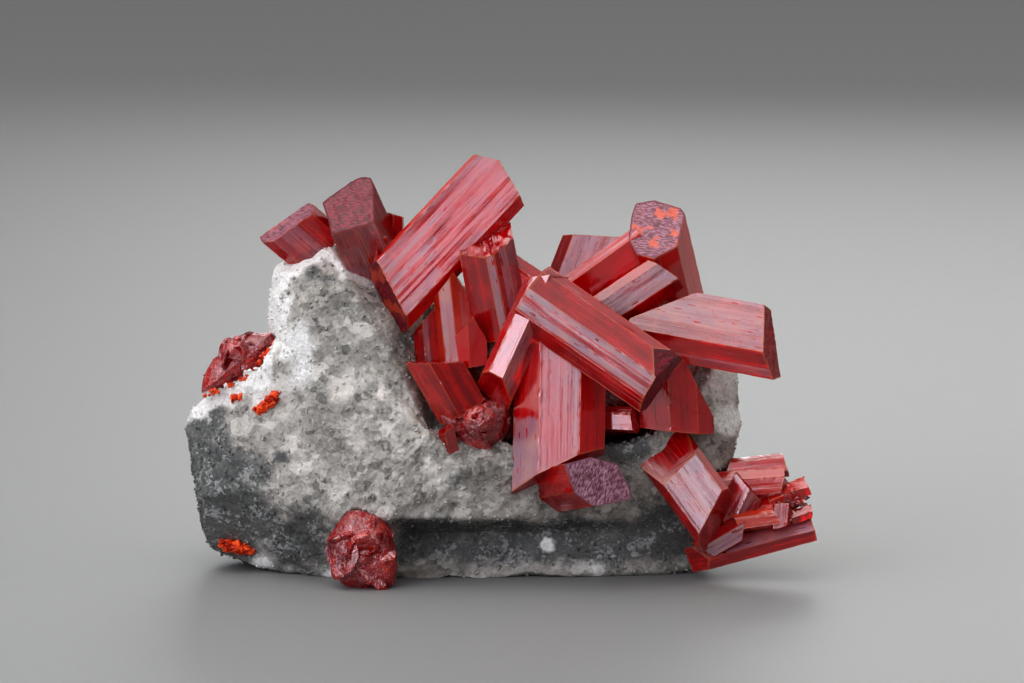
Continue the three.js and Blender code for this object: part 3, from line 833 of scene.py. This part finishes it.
def closed_lump(name, places, **more):
    """A mesh from rings of front-view places, with a fan over each pole."""
    rows, columns = places.shape[:2]
    metres = above_floor(places)
    points = metres.reshape(-1, 3)
    poles = np.stack([metres[0].mean(axis=0), metres[-1].mean(axis=0)])
    ring = np.arange(columns)
    following = (ring + 1) % columns
    last = (rows - 1) * columns
    front_fan = np.stack([np.full(columns, rows * columns), ring, following], -1)
    back_fan = np.stack([np.full(columns, rows * columns + 1), last + following, last + ring], -1)
    faces = [grid_faces(rows, columns)[:, ::-1], front_fan, back_fan]
    more["values"] = {
        key: np.concatenate([value.ravel(), [value[0].mean(), value[-1].mean()]])
        for key, value in more.get("values", {}).items()
    }
    return build_piece(name, np.concatenate([points, poles]), faces, **more)


# %% [markdown]
# ## The rock
# The rock is coarse, sugary calcite: white and fresh along the spur on the upper left,
# speckled light grey in the middle, dark grey at the lower left. Under the ledge and in a
# hollow at the right the darkening is painted shade.

# %% Outlines of the lumps
CLUSTER_BODY = {
    "centre": (572, 378, 42), "front": 38, "back": 60, "bulge": 2.6,
    "outline": [
        (708, 372), (706, 330), (690, 292), (640, 292), (590, 300), (540, 284), (500, 268),
        (464, 272), (428, 306), (424, 362), (440, 412), (480, 430), (530, 446), (600, 442),
        (660, 424),
    ],
}
BROKEN_MASS = {
    "centre": (474, 424, 96), "front": 18, "back": 24, "bulge": 2.2,
    "outline": [
        (512, 404), (498, 398), (480, 399), (456, 396), (440, 402), (443, 425), (450, 440),
        (466, 448), (478, 455), (490, 450), (504, 438), (510, 420),
    ],
}
LOW_BODY = {
    "centre": (752, 502, 44), "front": 16, "back": 30, "bulge": 2.6,
    "outline": [
        (800, 500), (786, 474), (740, 474), (712, 474), (706, 510), (716, 544), (770, 526),
        (802, 516),
    ],
}
BOTTOM_LUMP = {
    "centre": (364, 546, 100), "front": 30, "back": 34, "bulge": 2.3,
    "outline": [
        (400, 560), (397, 540), (384, 517), (368, 508), (350, 506), (336, 526),
        (329, 560), (333, 573), (345, 587), (370, 588), (386, 590), (397, 586),
    ],
}
EDGE_PATCH = {
    "centre": (238, 362, 30), "front": 30, "back": 34, "bulge": 2.3,
    "outline": [
        (277, 337), (273, 331), (262, 331), (240, 335), (221, 341), (217, 356),
        (202, 372), (197, 397), (204, 393), (230, 383), (246, 372), (268, 352),
    ],
}
print("corners of the red body's outline:", len(CLUSTER_BODY["outline"]))

# %% [markdown]
# The rock fills its outline, with its own thickness in each direction. Flat broken faces cut
# it off, an undercut hollows the lower right, and the lumps sit in hollows of their own.

# %% Rock shape
ROCK_CENTRE = (430, 430, 0)
ROCK_OUTLINE = [
    (741, 425), (738, 372), (700, 345), (650, 340), (600, 340), (540, 330),
    (480, 320), (430, 300), (395, 282), (370, 264), (342, 252), (325, 236),
    (300, 250), (272, 268), (267, 310), (268, 335), (243, 362), (215, 388),
    (190, 410), (184, 422), (188, 455), (192, 500), (200, 530), (208, 550),
    (240, 562), (262, 570), (290, 577), (330, 582), (400, 582), (450, 582),
    (530, 580), (580, 582), (630, 580), (690, 574), (728, 520), (733, 460),
]
ROCK_FRONT = [92, 66, 58, 66, 96, 104, 104, 108, 112, 114, 112, 106]
ROCK_BACK = 128
ROCK_BULGE = 3
ROCK_FACES = [
    (200, 0.9, 212), (170, 1.3, 160), (140, 1.0, 188), (112, 1.3, 168), (235, 1.4, 140),
    (260, 2.2, 128), (300, 2.4, 122), (185, 3.5, 110), (30, -1.1, 205), (80, -0.9, 150),
    (150, -0.9, 190), (200, -0.9, 205), (330, -0.9, 250), (0, -0.9, 250), (15, 0.9, 240),
]
UNDERCUT = {"left": 392, "top": 520, "depth": 46, "soft": 14}


def hollow(places, body, margin):
    """Nearness of the back of a lump, where the rock has to make room for it.

    A margin widens the seat by so many units, and a negative one makes it closer."""
    x, y, near = body["centre"]
    offset = places[..., :2] - np.array([x, y])
    bearing = np.arctan2(-offset[..., 1], offset[..., 0])
    reach = outline_reach(body["outline"], (x, y), bearing) + margin
    side = np.hypot(offset[..., 0], offset[..., 1]) / reach
    depth = np.maximum(1 - side ** body["bulge"], 0) ** (1 / body["bulge"])
    return np.where(side < 1, near - (body["back"] + 3) * depth, 1e3)


def rock_places(ways):
    """Front-view places: rounded box, flat broken faces, bumps, and the undercut below."""
    at = (np.arctan2(ways[..., 1], ways[..., 0]) / (2 * np.pi)) % 1 * len(ROCK_FRONT)
    first = np.floor(at).astype(int) % len(ROCK_FRONT)
    ease = smooth_step(at - np.floor(at), 0, 1)
    front = np.take(ROCK_FRONT, first) * (1 - ease)
    front = front + np.take(ROCK_FRONT, (first + 1) % len(ROCK_FRONT)) * ease
    reach = lump_reach(ways, ROCK_OUTLINE, ROCK_CENTRE, front, ROCK_BACK, ROCK_BULGE)
    for bearing, lean, distance in ROCK_FACES:
        normal = np.array([np.cos(np.radians(bearing)), np.sin(np.radians(bearing)), lean])
        facing = ways @ (normal / np.linalg.norm(normal))
        cut = distance / np.maximum(facing, 0.05)
        reach = np.where(facing > 0.05, np.minimum(reach, cut), reach)
    spot = ways * reach[..., None] + 1000
    bumps = 6 * unevenness(spot, 62) + 3.2 * unevenness(spot, 27)
    fine = 2.0 * unevenness(spot, 12) + 1.5 * unevenness(spot, 5.5) + 0.8 * unevenness(spot, 2.8)
    reach = reach + bumps * np.minimum(1, np.abs(ways[..., 2]) * 3 + 0.25) + fine
    places = np.array(ROCK_CENTRE) + ways * reach[..., None] * DOWNWARD
    x, y, near = places[..., 0], places[..., 1], places[..., 2]
    below = smooth_step(y, UNDERCUT["top"] - 4, UNDERCUT["top"] + UNDERCUT["soft"])
    beside = smooth_step(x, UNDERCUT["left"] - 20, UNDERCUT["left"] + 20)
    held = UNDERCUT["depth"] + 4 * unevenness(spot, 30)
    places[..., 2] = np.where(near > held, near + (held - near) * below * beside, near)
    for body, margin in ((CLUSTER_BODY, 1), (LOW_BODY, 1), (BOTTOM_LUMP, -3), (EDGE_PATCH, -2)):
        places[..., 2] = np.minimum(places[..., 2], hollow(places, body, margin))
    return places


# %% [markdown]
# Where the rock is white, dark or warm is set by soft round patches of the front view, each
# a place, a radius and a strength. The dark patches are partly dark grey rock and partly
# painted shade, as in the hollow at the right. Noise frays their edges, and the shader reads
# them.

# %% Rock patches
WHITE_RIM = [
    (190, 404), (222, 388), (250, 366), (270, 338), (272, 300), (280, 268), (302, 252),
    (325, 244), (350, 256), (376, 270),
]
WHITE_PATCHES = [
    (296, 345, 22, 0.7), (262, 386, 18, 0.6), (300, 372, 20, 0.45), (548, 545, 8, 0.9),
    (722, 372, 22, 0.9), (730, 420, 16, 0.8), (694, 366, 22, 0.6), (260, 566, 12, 0.6),
    (352, 268, 14, 0.8), (330, 575, 12, 0.5), (595, 572, 12, 0.5),
]
WARM_PATCHES = [
    (340, 390, 16, 0.9), (300, 440, 20, 0.7), (360, 440, 16, 0.8), (384, 395, 13, 0.8),
    (430, 470, 26, 0.5), (470, 500, 22, 0.5), (580, 520, 18, 0.3),
]
# dark grey rock at the lower left, and painted shade where the rock lies in shadow, as in the
# hollow at (625, 445)
DARK_ROCK_AND_SHADE_PATCHES = [
    (205, 470, 40, 1.0), (232, 520, 44, 1.0), (205, 425, 22, 0.8), (300, 540, 40, 0.7),
    (258, 470, 22, 0.6), (313, 272, 9, 0.7), (328, 280, 9, 0.6), (345, 300, 16, 0.4),
    (405, 345, 16, 0.5), (280, 458, 9, 0.7), (625, 445, 22, 1.0), (660, 520, 30, 0.7),
    (455, 480, 10, 0.4), (560, 500, 20, 0.4),
]


def patch_value(places, patches, fray=0.45):
    """The strongest patch at each place: strength * exp(-(distance / radius)^2)."""
    frayed = unevenness(places + 300, 9) * 0.6 + unevenness(places + 700, 3.6) * 0.4
    value = np.zeros(places.shape[:-1])
    for x, y, radius, strength in patches:
        away = np.hypot(places[..., 0] - x, places[..., 1] - y) / radius + fray * frayed
        value = np.maximum(value, strength * np.exp(-np.maximum(away, 0) ** 2))
    return value


def rim_value(places, corners, width):
    """exp(-(distance / width)^2) to a line through corners, frayed by noise."""
    frayed = unevenness(places + 500, 12) * 0.5 + unevenness(places + 900, 4.5) * 0.35
    line = np.array(corners, float)
    spot = places[..., None, :2]
    start, run = line[:-1], np.diff(line, axis=0)
    share = np.clip(np.sum((spot - start) * run, -1) / np.sum(run * run, -1), 0, 1)
    away = np.linalg.norm(spot - start - share[..., None] * run, axis=-1).min(axis=-1)
    return np.exp(-np.maximum(away / width + frayed, 0) ** 2)


def rock_values(places):
    """How white, warm and dark the rock is at each place, for its finish; the dark value is partly
    painted shade.
    """
    down = places[..., 1] + 7 * unevenness(places + 40, 34) + 3 * unevenness(places, 8)
    # painted shade: darker under the ledge, where the undercut lies in shadow, less so at the
    # bottom rim
    painted_ledge_shade = smooth_step(down, 512, 524) * smooth_step(places[..., 0], 380, 410)
    rim = 1 - smooth_step(down, 554, 570) * 0.8
    white = rim_value(places, WHITE_RIM, 15)
    front = 0.35 + 0.65 * smooth_step(places[..., 2], -60, 0)
    return {
        "white": np.maximum(white, patch_value(places, WHITE_PATCHES)) * front,
        "warm": patch_value(places, WARM_PATCHES),
        "dark": np.maximum(patch_value(places, DARK_ROCK_AND_SHADE_PATCHES), 0.5 * painted_ledge_shade * rim),
    }


# %% [markdown]
# Calcite grains differ in brightness, which the random colours of warped cells give in three
# sizes. Scales are per metre, so 1000 gives cells about a millimetre wide. White, dark and
# warm areas are mixed over them by the named values of the mesh, the dark areas partly
# painted shade.

# %% Finish of the rock
def rock_finish():
    finish = Finish("sugary_calcite", Specular_IOR_Level=0.45)
    where = finish.add("ShaderNodeTexCoord", {}, {}, 3)
    warped = finish.warped(where, 900.0, 9e-4)
    coarse = finish.noise(where, 420.0, 5.0, 0.65)
    fine = finish.noise(where, 2600.0, 4.0, 0.6)
    cloud = finish.noise(where, 170.0, 4.0, 0.6)
    tones = [
        finish.add("ShaderNodeSeparateColor", {}, {0: finish.cells(warped, scale, 1)})
        for scale in (520.0, 1150.0, 3000.0)
    ]
    large, middle, small = tones
    pale_bits = (large * 0.75 + cloud * 0.5).between(0.82, 0.98)
    dark_bits = ((1 - middle) * 0.8 + (1 - cloud) * 0.35).between(0.88, 0.98)
    # mask of the dark grey rock and of the painted shade in the hollow and under the ledge
    dark = (finish.named("dark") + coarse * 0.7 + cloud * 0.3 - 0.5).between(0.12, 0.55)
    white = (finish.named("white") + coarse * 0.5 - 0.25).between(0.15, 0.5)
    warm = (finish.named("warm") * 0.6 + coarse * 0.7 + large * 0.2 - 0.35).between(0.3, 0.6)
    body = (fine * 0.3 + middle * 0.25 + small * 0.15 + cloud * 0.75 - 0.35).between(0.0, 0.8)
    grey = finish.mix(body, (0.22, 0.204, 0.182, 1), (0.58, 0.54, 0.49, 1))
    grey = finish.mix(pale_bits * 0.7, grey, (0.67, 0.635, 0.585, 1))
    grey = finish.mix(dark_bits * 0.5, grey, (0.12, 0.12, 0.11, 1))
    beige = finish.mix(warm, grey, (0.66, 0.61, 0.56, 1))
    powder = (small * 0.5 + coarse * 0.9 + (large - 0.5) * 0.3).between(0.75, 1.05)
    shade = finish.mix(fine, (0.045, 0.045, 0.042, 1), (0.2, 0.2, 0.19, 1))
    shade = finish.mix(powder * 0.75, shade, (0.4, 0.395, 0.38, 1))
    pale = finish.mix(fine.between(0.3, 0.7), (0.64, 0.62, 0.59, 1), (0.87, 0.84, 0.81, 1))
    finish.drive(
        Base_Color=finish.mix(white, finish.mix(dark, beige, shade), pale),
        Roughness=0.75 - small * 0.4,
        Normal=finish.bump(fine * 0.5 + coarse * 0.6 + middle * 0.25 + small * 0.2, 0.8, 0.3e-3),
    )
    return finish.finished()


calcite = rock_finish()

# %% [markdown]
# The rock is one closed mesh, with most of its rings on the side that faces the viewer.

# %% Build the rock
ways = directions(500, 190, 1.25)
places = rock_places(ways)
rock = closed_lump("rock", places, values=rock_values(places), smooth=True)
belongs(rock, "matrix_rock", "calcite_rock", calcite)
print("rock faces:", len(rock.data.polygons))

# %% [markdown]
# Small calcite rhombs stand out of the rock and give it its sugary sparkle. Each is a
# skewed box of six faces, turned at random and sunk by half into the surface, and all of
# them are joined to one piece.


# %% Calcite grains
GRAIN_COUNT = 13000
BARE_NEAR = -60  # behind this nearness the rock carries no grains
FRONT_SHARE = 0.72  # share of the rock's rings, from the front, that may carry them


def rhomb_grains(places, rng, count):
    """Corners of skewed boxes: spot + size * (turned axes . signs), for all at once."""
    last = int(len(places) * FRONT_SHARE)
    front = places[:last].reshape(-1, 3)
    packing = np.linalg.norm(np.gradient(places, axis=1), axis=-1)
    packing = (packing * np.linalg.norm(np.gradient(places, axis=0), axis=-1))[:last]
    weight = packing.ravel() * (front[:, 2] > BARE_NEAR)
    spots = front[rng.choice(len(front), count, p=weight / weight.sum())]
    spots = spots + rng.normal(size=spots.shape) * 0.4
    frames = np.linalg.qr(rng.normal(size=(count, 3, 3)))[0]
    frames[:, 0] += frames[:, 1] * 0.28
    signs = np.array([[a, b, c] for a in (-1, 1) for b in (-1, 1) for c in (-1, 1)])
    size = 0.45 + 1.5 * rng.uniform(size=(count, 1, 1)) ** 3
    flat = rng.uniform(0.5, 1.0, size=(count, 1, 3))
    corners = spots[:, None, :] + size * ((signs * flat) @ frames)
    quads = np.array([[0, 1, 3, 2], [4, 6, 7, 5], [0, 4, 5, 1],
                      [2, 3, 7, 6], [0, 2, 6, 4], [1, 5, 7, 3]])
    turned = np.linalg.det(frames) < 0
    quads = np.where(turned[:, None, None], quads[None, :, ::-1], quads[None])
    return spots, corners, quads + np.arange(count)[:, None, None] * 8


spots, corners, quads = rhomb_grains(places, rng, GRAIN_COUNT)
values = {key: np.repeat(value, 8) for key, value in rock_values(spots).items()}
metres = above_floor(corners.reshape(-1, 3))
grains = build_piece("calcite_grains", metres, quads.reshape(-1, 4), values=values)
belongs(grains, "matrix_rock", "calcite_rock", calcite)
print("grain faces:", len(grains.data.polygons))

# %% [markdown]
# ## Broken realgar
# Realgar that has lost its faces breaks in shallow curved chips. A lump is cut by many
# planes at random leans, each a little inside the rounded shape, and its edges stay sharp.


# %% Broken lumps
def chipped(name, spec, rng, chips, columns=200, rows=100, bite=0.3, tilt=0.32):
    """Reach of the lump, broken twice.

    Large breaks are planes: reach = min(reach, distance / facing). Small ones are cells
    round random seeds, each tilted its own way: reach * (1 + (direction - seed) . lean)."""
    ways = directions(columns, rows)
    reach = lump_reach(ways, **spec)
    full = reach.copy()
    normals = rng.normal(size=(chips, 3))
    normals /= np.linalg.norm(normals, axis=1)[:, None]
    middle = lump_reach(normals, **spec)
    for normal, distance in zip(normals, middle * (1 - bite * rng.uniform(0, 1, chips) ** 2)):
        facing = ways @ normal
        cut = distance / np.maximum(facing, 0.2)
        reach = np.where(facing > 0.4, np.minimum(reach, cut), reach)
    ridge = 0
    for seeds, lean in ((26, tilt * 1.5), (110, tilt * 0.5)):
        spots = rng.normal(size=(seeds, 3))
        spots /= np.linalg.norm(spots, axis=1)[:, None]
        facing = ways @ spots.T
        nearest = np.argmax(facing, axis=-1)
        two = np.sort(facing, axis=-1)[..., -2:]
        ridge = np.maximum(ridge, np.exp(-(two[..., 1] - two[..., 0]) * seeds**0.5 * 6))
        leans = rng.normal(size=(seeds, 3)) * lean
        reach = reach * (1 + np.sum((ways - spots[nearest]) * leans[nearest], axis=-1))
    reach = np.clip(reach, full * (0.93 - 0.35 * np.abs(ways[..., 2])), full * 1.01)
    places = np.array(spec["centre"]) + ways * reach[..., None] * DOWNWARD
    return closed_lump(name, places, values={"ridge": ridge})


# %% [markdown]
# Broken faces are a web of shallow chips. The web comes from the borders of warped cells in
# two sizes, and the same borders are paler and stand out in the bump.


# %% Finish of the broken realgar
def broken_finish():
    finish = Finish("broken_realgar", **RED_GLASS)
    where = finish.add("ShaderNodeTexCoord", {}, {}, 3)
    cloud = finish.noise(where, 300.0, 4.0)
    chips = finish.noise(where, 900.0, 3.0)
    share = (cloud * 0.7 + chips * 0.4).between(0.4, 0.75)
    red = finish.mix(share, (0.36, 0.0, 0.004, 1), (1.0, 0.008, 0.008, 1))
    red = finish.mix(cloud.between(0.6, 0.68) * 0.6, red, (1.0, 0.12, 0.02, 1))
    warped = finish.warped(where, 700.0, 2.2e-3)
    wide = finish.cells(warped, 480.0, 0, "DISTANCE_TO_EDGE").between(0.0, 0.07)
    narrow = finish.cells(warped, 1300.0, 0, "DISTANCE_TO_EDGE").between(0.0, 0.1)
    lines = (2 - wide - narrow) * chips.between(0.35, 0.6)
    ridge = (finish.named("ridge") * 0.3 + lines * 0.9 + chips * 0.3).between(0.5, 1.2)
    finish.drive(
        Base_Color=finish.mix(ridge * 0.6, red, (0.8, 0.42, 0.44, 1)),
        Roughness=chips * 0.3 + 0.06,
        Normal=finish.bump(wide * 0.7 + narrow * 0.4 + chips * 0.5, 0.5, 0.14e-3),
    )
    finish.fill(*RED_BODY)
    return finish.finished()


broken_realgar = broken_finish()

# %% [markdown]
# Two red bodies fill the gaps between the crystals. The other lumps show their breaks in
# front, and the dark knob is a small one with coarser steps.

# %% Break the lumps
for name, spec, node, slot, chips, tilt in (
    ("cluster_body", CLUSTER_BODY, "main_crystal_cluster", "realgar_crystal", 60, 0.6),
    ("broken_mass", BROKEN_MASS, "main_crystal_cluster", "realgar_crystal", 70, 0.45),
    ("low_body", LOW_BODY, "lower_right_crystals", "realgar_crystal", 30, 0.4),
    ("bottom_lump", BOTTOM_LUMP, "bottom_realgar_lump", "broken_realgar", 90, 0.42),
    ("edge_patch", EDGE_PATCH, "edge_realgar_patch", "broken_realgar", 60, 0.45),
):
    belongs(chipped(name, spec, rng, chips, tilt=tilt), node, slot, broken_realgar)
    print(name, "has", chips, "large breaks")

# a round outline, seen from the front
KNOB_CENTRE, KNOB_RADIUS = (480, 421, 120), 17
turns = np.linspace(0, 2 * np.pi, 24, endpoint=False)
circle = np.stack([np.cos(turns), -np.sin(turns)], -1) * KNOB_RADIUS + np.array(KNOB_CENTRE[:2])
knob_spec = {
    "centre": KNOB_CENTRE, "front": KNOB_RADIUS, "back": KNOB_RADIUS, "bulge": 2, "outline": circle,
}
knob = chipped("dark_knob", knob_spec, rng, chips=30, columns=110, rows=55, bite=0.2)
belongs(knob, "main_crystal_cluster", "realgar_crystal", broken_realgar)

# %% [markdown]
# ## Orange grains
# Small crusts of orange-red grains sit in the white calcite and at the lower left.

# %% Places and finish of the grains
GRAINS = {
    "orange_bits_upper": ("orange_grain_upper", (239, 399, 50), (9, 6, 8), 5),
    "orange_bits_sliver": ("orange_sliver", (269, 402, 64), (18, 6, 9), 32),
    "orange_bits_low": ("orange_patch_low", (234, 548, 22), (20, 6, 9), -14),
}


def grain_finish():
    finish = Finish("orange_grain", Specular_IOR_Level=0.6)
    where = finish.add("ShaderNodeTexCoord", {}, {}, 3)
    cloud = finish.noise(where, 1400.0, 4.0)
    tone = cloud.between(0.35, 0.65)
    finish.drive(
        Base_Color=finish.mix(tone, (0.4, 0.015, 0.006, 1), (0.9, 0.13, 0.02, 1)),
        Roughness=cloud * 0.3 + 0.15,
        Normal=finish.bump(cloud, 0.8, 0.2e-3),
    )
    return finish.finished()


# %% [markdown]
# Each grain is a small rounded box in a random position, and a cluster joins them.


# %% Clusters of chips
def chip_cluster(name, spots, sizes, rng, jagged=0.35):
    """Many small chips in one mesh: rounded boxes whose reach is jagged by noise."""
    ways = directions(18, 9)
    rows, columns = ways.shape[:2]
    points, faces = [], []
    for spot, size in zip(spots, sizes):
        axes = np.linalg.qr(rng.normal(size=(3, 3)))[0]
        box = 1 / np.maximum(np.abs(ways @ axes).max(axis=-1), 0.2)
        reach = box * (1 + jagged * unevenness(ways * 2 + rng.uniform(50, 90), 0.8))
        corner = np.array(spot) + ways * (reach[..., None] * np.array(size)) * DOWNWARD
        first = len(points) * (rows * columns)
        points.append(above_floor(corner).reshape(-1, 3))
        ring = np.arange(columns)
        faces.append((grid_faces(rows, columns, first)[:, ::-1], first + ring[::-1][None],
                      first + (rows - 1) * columns + ring[None]))
    quads = np.concatenate([part[0] for part in faces])
    caps = np.concatenate([cap for part in faces for cap in part[1:]])
    return build_piece(name, np.concatenate(points), [quads, caps])


orange = grain_finish()
for name, (node, centre, reach, turn) in GRAINS.items():
    lean = np.array([np.cos(np.radians(turn)), -np.sin(np.radians(turn)), 0])
    count = 5 + int(reach[0] * 0.5)
    along = np.linspace(-0.8, 0.8, count) + rng.normal(size=count) * 0.1
    spots = np.array(centre) + along[:, None] * reach[0] * lean
    spots = spots + rng.normal(size=(count, 3)) * np.array([0.8, reach[1] * 0.35, 1.0])
    wide = 1 - 0.6 * np.abs(along)
    sizes = wide[:, None] * np.array([reach[0] * 0.3, reach[1] * 0.7, reach[2] * 0.7])
    sizes = sizes * rng.uniform(0.7, 1.2, size=(count, 3))
    spots[:, 2] += 3
    belongs(chip_cluster(name, spots, sizes, rng), node, "orange_grain", orange)
    print(name, "has", count, "grains")

# %% [markdown]
# The broken patch on the left edge passes into the white rock with a rim of orange grains,
# and one small crystal tip looks out behind the spur.

# %% Orange rim of the patch
count = 46
share = rng.uniform(size=count)
line = np.array([(200, 397, 42), (222, 390, 50), (246, 376, 54), (262, 360, 48), (273, 342, 42)])
spots = np.stack([np.interp(share, np.linspace(0, 1, len(line)), axis) for axis in line.T], -1)
spots = spots + rng.normal(size=(count, 3)) * np.array([1.6, 1.6, 2.0])
sizes = rng.uniform(0.8, 2.4, size=(count, 1)) * rng.uniform(0.6, 1.1, size=(count, 3))
rim = chip_cluster("patch_rim", spots, sizes, rng)
belongs(rim, "edge_realgar_patch", "broken_realgar", orange)
tip = chip_cluster("spur_tip", [(276, 272, 6)], [(4, 4, 5)], rng, 0.15)
belongs(tip, "spur_crystals", "realgar_crystal", broken_realgar)

# %% [markdown]
# Loose-looking chips of realgar fill the corner between the crystals at the lower right.

# %% Chips at the lower right
count = 34
spots = np.array([792, 502, 62]) + rng.normal(size=(count, 3)) * np.array([8, 7, 4])
spots[:, 0] = np.minimum(spots[:, 0], 809)
sizes = rng.uniform(1.2, 3.6, size=(count, 1)) * rng.uniform(0.6, 1.1, size=(count, 3))
chips = chip_cluster("low_chips", spots, sizes, rng, 0.2)
belongs(chips, "lower_right_crystals", "realgar_crystal", broken_realgar)

# %% [markdown]
# ## Floor, light and camera
# The object stands on a plain pale floor. Soft lights beside and above the camera make the
# pale veils on the crystal faces, a wide ceiling models the rock and keeps the floor even,
# and the world fills in. The camera looks along the front view through a long lens.

# %% Floor
floor_mesh = bpy.data.meshes.new("floor")
floor_mesh.from_pydata([(-8, -8, 0), (8, -8, 0), (8, 8, 0), (-8, 8, 0)], [], [(0, 1, 2, 3)])
floor = bpy.data.objects.new("floor", floor_mesh)
bpy.context.scene.collection.objects.link(floor)
floor_paint = bpy.data.materials.new("pale_floor")
floor_paint.use_nodes = True
floor_shader = floor_paint.node_tree.nodes["Principled BSDF"]
floor_shader.inputs["Base Color"].default_value = (0.26, 0.26, 0.255, 1)
floor_shader.inputs["Roughness"].default_value = 0.6
floor_mesh.materials.append(floor_paint)
print("floor is", floor.dimensions.x, "m wide")

# %% [markdown]
# The room is plain and even, so that the object can be looked at from every side.

# %% Room
scene = bpy.context.scene
world = scene.world or bpy.data.worlds.new("studio")
scene.world = world
world.use_nodes = True
backdrop = world.node_tree.nodes["Background"]
backdrop.inputs["Color"].default_value = (0.95, 0.97, 1.0, 1)
backdrop.inputs["Strength"].default_value = 0.14
scene.view_settings.view_transform = "Standard"
scene.view_settings.look = "High Contrast"
scene.cycles.use_denoising = True
print("view:", scene.view_settings.view_transform, scene.view_settings.look)

# %% [markdown]
# Red faces shine only where they mirror a lamp, so each lamp is placed for the faces that
# are pale in the photograph. The wide ceiling is the main light of rock and floor.

# %% Lights
NARROW = np.radians(100)  # spread of the lights that stand near the object
MIDDLE = place(500, 380, 40)
COOL = (0.84, 0.88, 1.0)


def turned_to(way):
    """Euler angles that turn an object's -Z towards way."""
    return Vector(way).to_track_quat("-Z", "Y").to_euler()


def soft_light(name, spot, size, watts, colour=(1, 1, 1)):
    """An area light at spot that faces the middle of the object, size across and up."""
    light = bpy.data.lights.new(name, "AREA")
    light.shape, light.energy = "RECTANGLE", watts
    light.size, light.size_y = size
    light.color = colour
    light.spread = NARROW if size[0] < 1 else np.pi
    lamp = bpy.data.objects.new(name, light)
    lamp.location = spot
    lamp.rotation_euler = turned_to(MIDDLE - np.array(spot))
    scene.collection.objects.link(lamp)
    print("light", name, watts, "W")


soft_light("front_strip", (0.02, -0.64, 0.26), (0.18, 0.34), 0.1, COOL)
soft_light("left_strip", (-0.42, -0.5, 0.24), (0.46, 0.46), 0.55, COOL)
soft_light("top", (-0.2, -0.03, 0.62), (0.8, 0.7), 0.74)
soft_light("ceiling", (0, 0, 1.8), (8.0, 8.0), 92)
soft_light("far_left", (-0.6, -0.12, 0.24), (0.25, 0.36), 0.1)
soft_light("right_high", (0.55, 0.12, 0.34), (0.14, 0.3), 0.03)
soft_light("back_glow", (0.1, 0.7, 0.27), (0.4, 0.2), 0.3)

# %% [markdown]
# The camera stands so far off that one unit of the front view is one pixel of the picture.

# %% Camera
camera_data = bpy.data.cameras.new("camera")
camera_data.lens, camera_data.sensor_width = 180, 36
camera_data.clip_start, camera_data.clip_end = 0.01, 20
camera = bpy.data.objects.new("camera", camera_data)
target = place(512, 341.5, 60)
distance = 1024 * UNIT * camera_data.lens / camera_data.sensor_width
camera.location = target + NEAR * distance
camera.rotation_euler = turned_to(-NEAR)
scene.collection.objects.link(camera)
scene.camera = camera
print("camera distance in metres:", round(distance, 3))

# %% [markdown]
# Last, all triangles outside the CAD parts are counted.

# %% Sizes and finish
total = 0
for thing in scene.objects:
    if thing.type == "MESH" and thing.name not in frame["nodes"]:
        thing.data.calc_loop_triangles()
        total += len(thing.data.loop_triangles)
print("triangles in all pieces:", total)
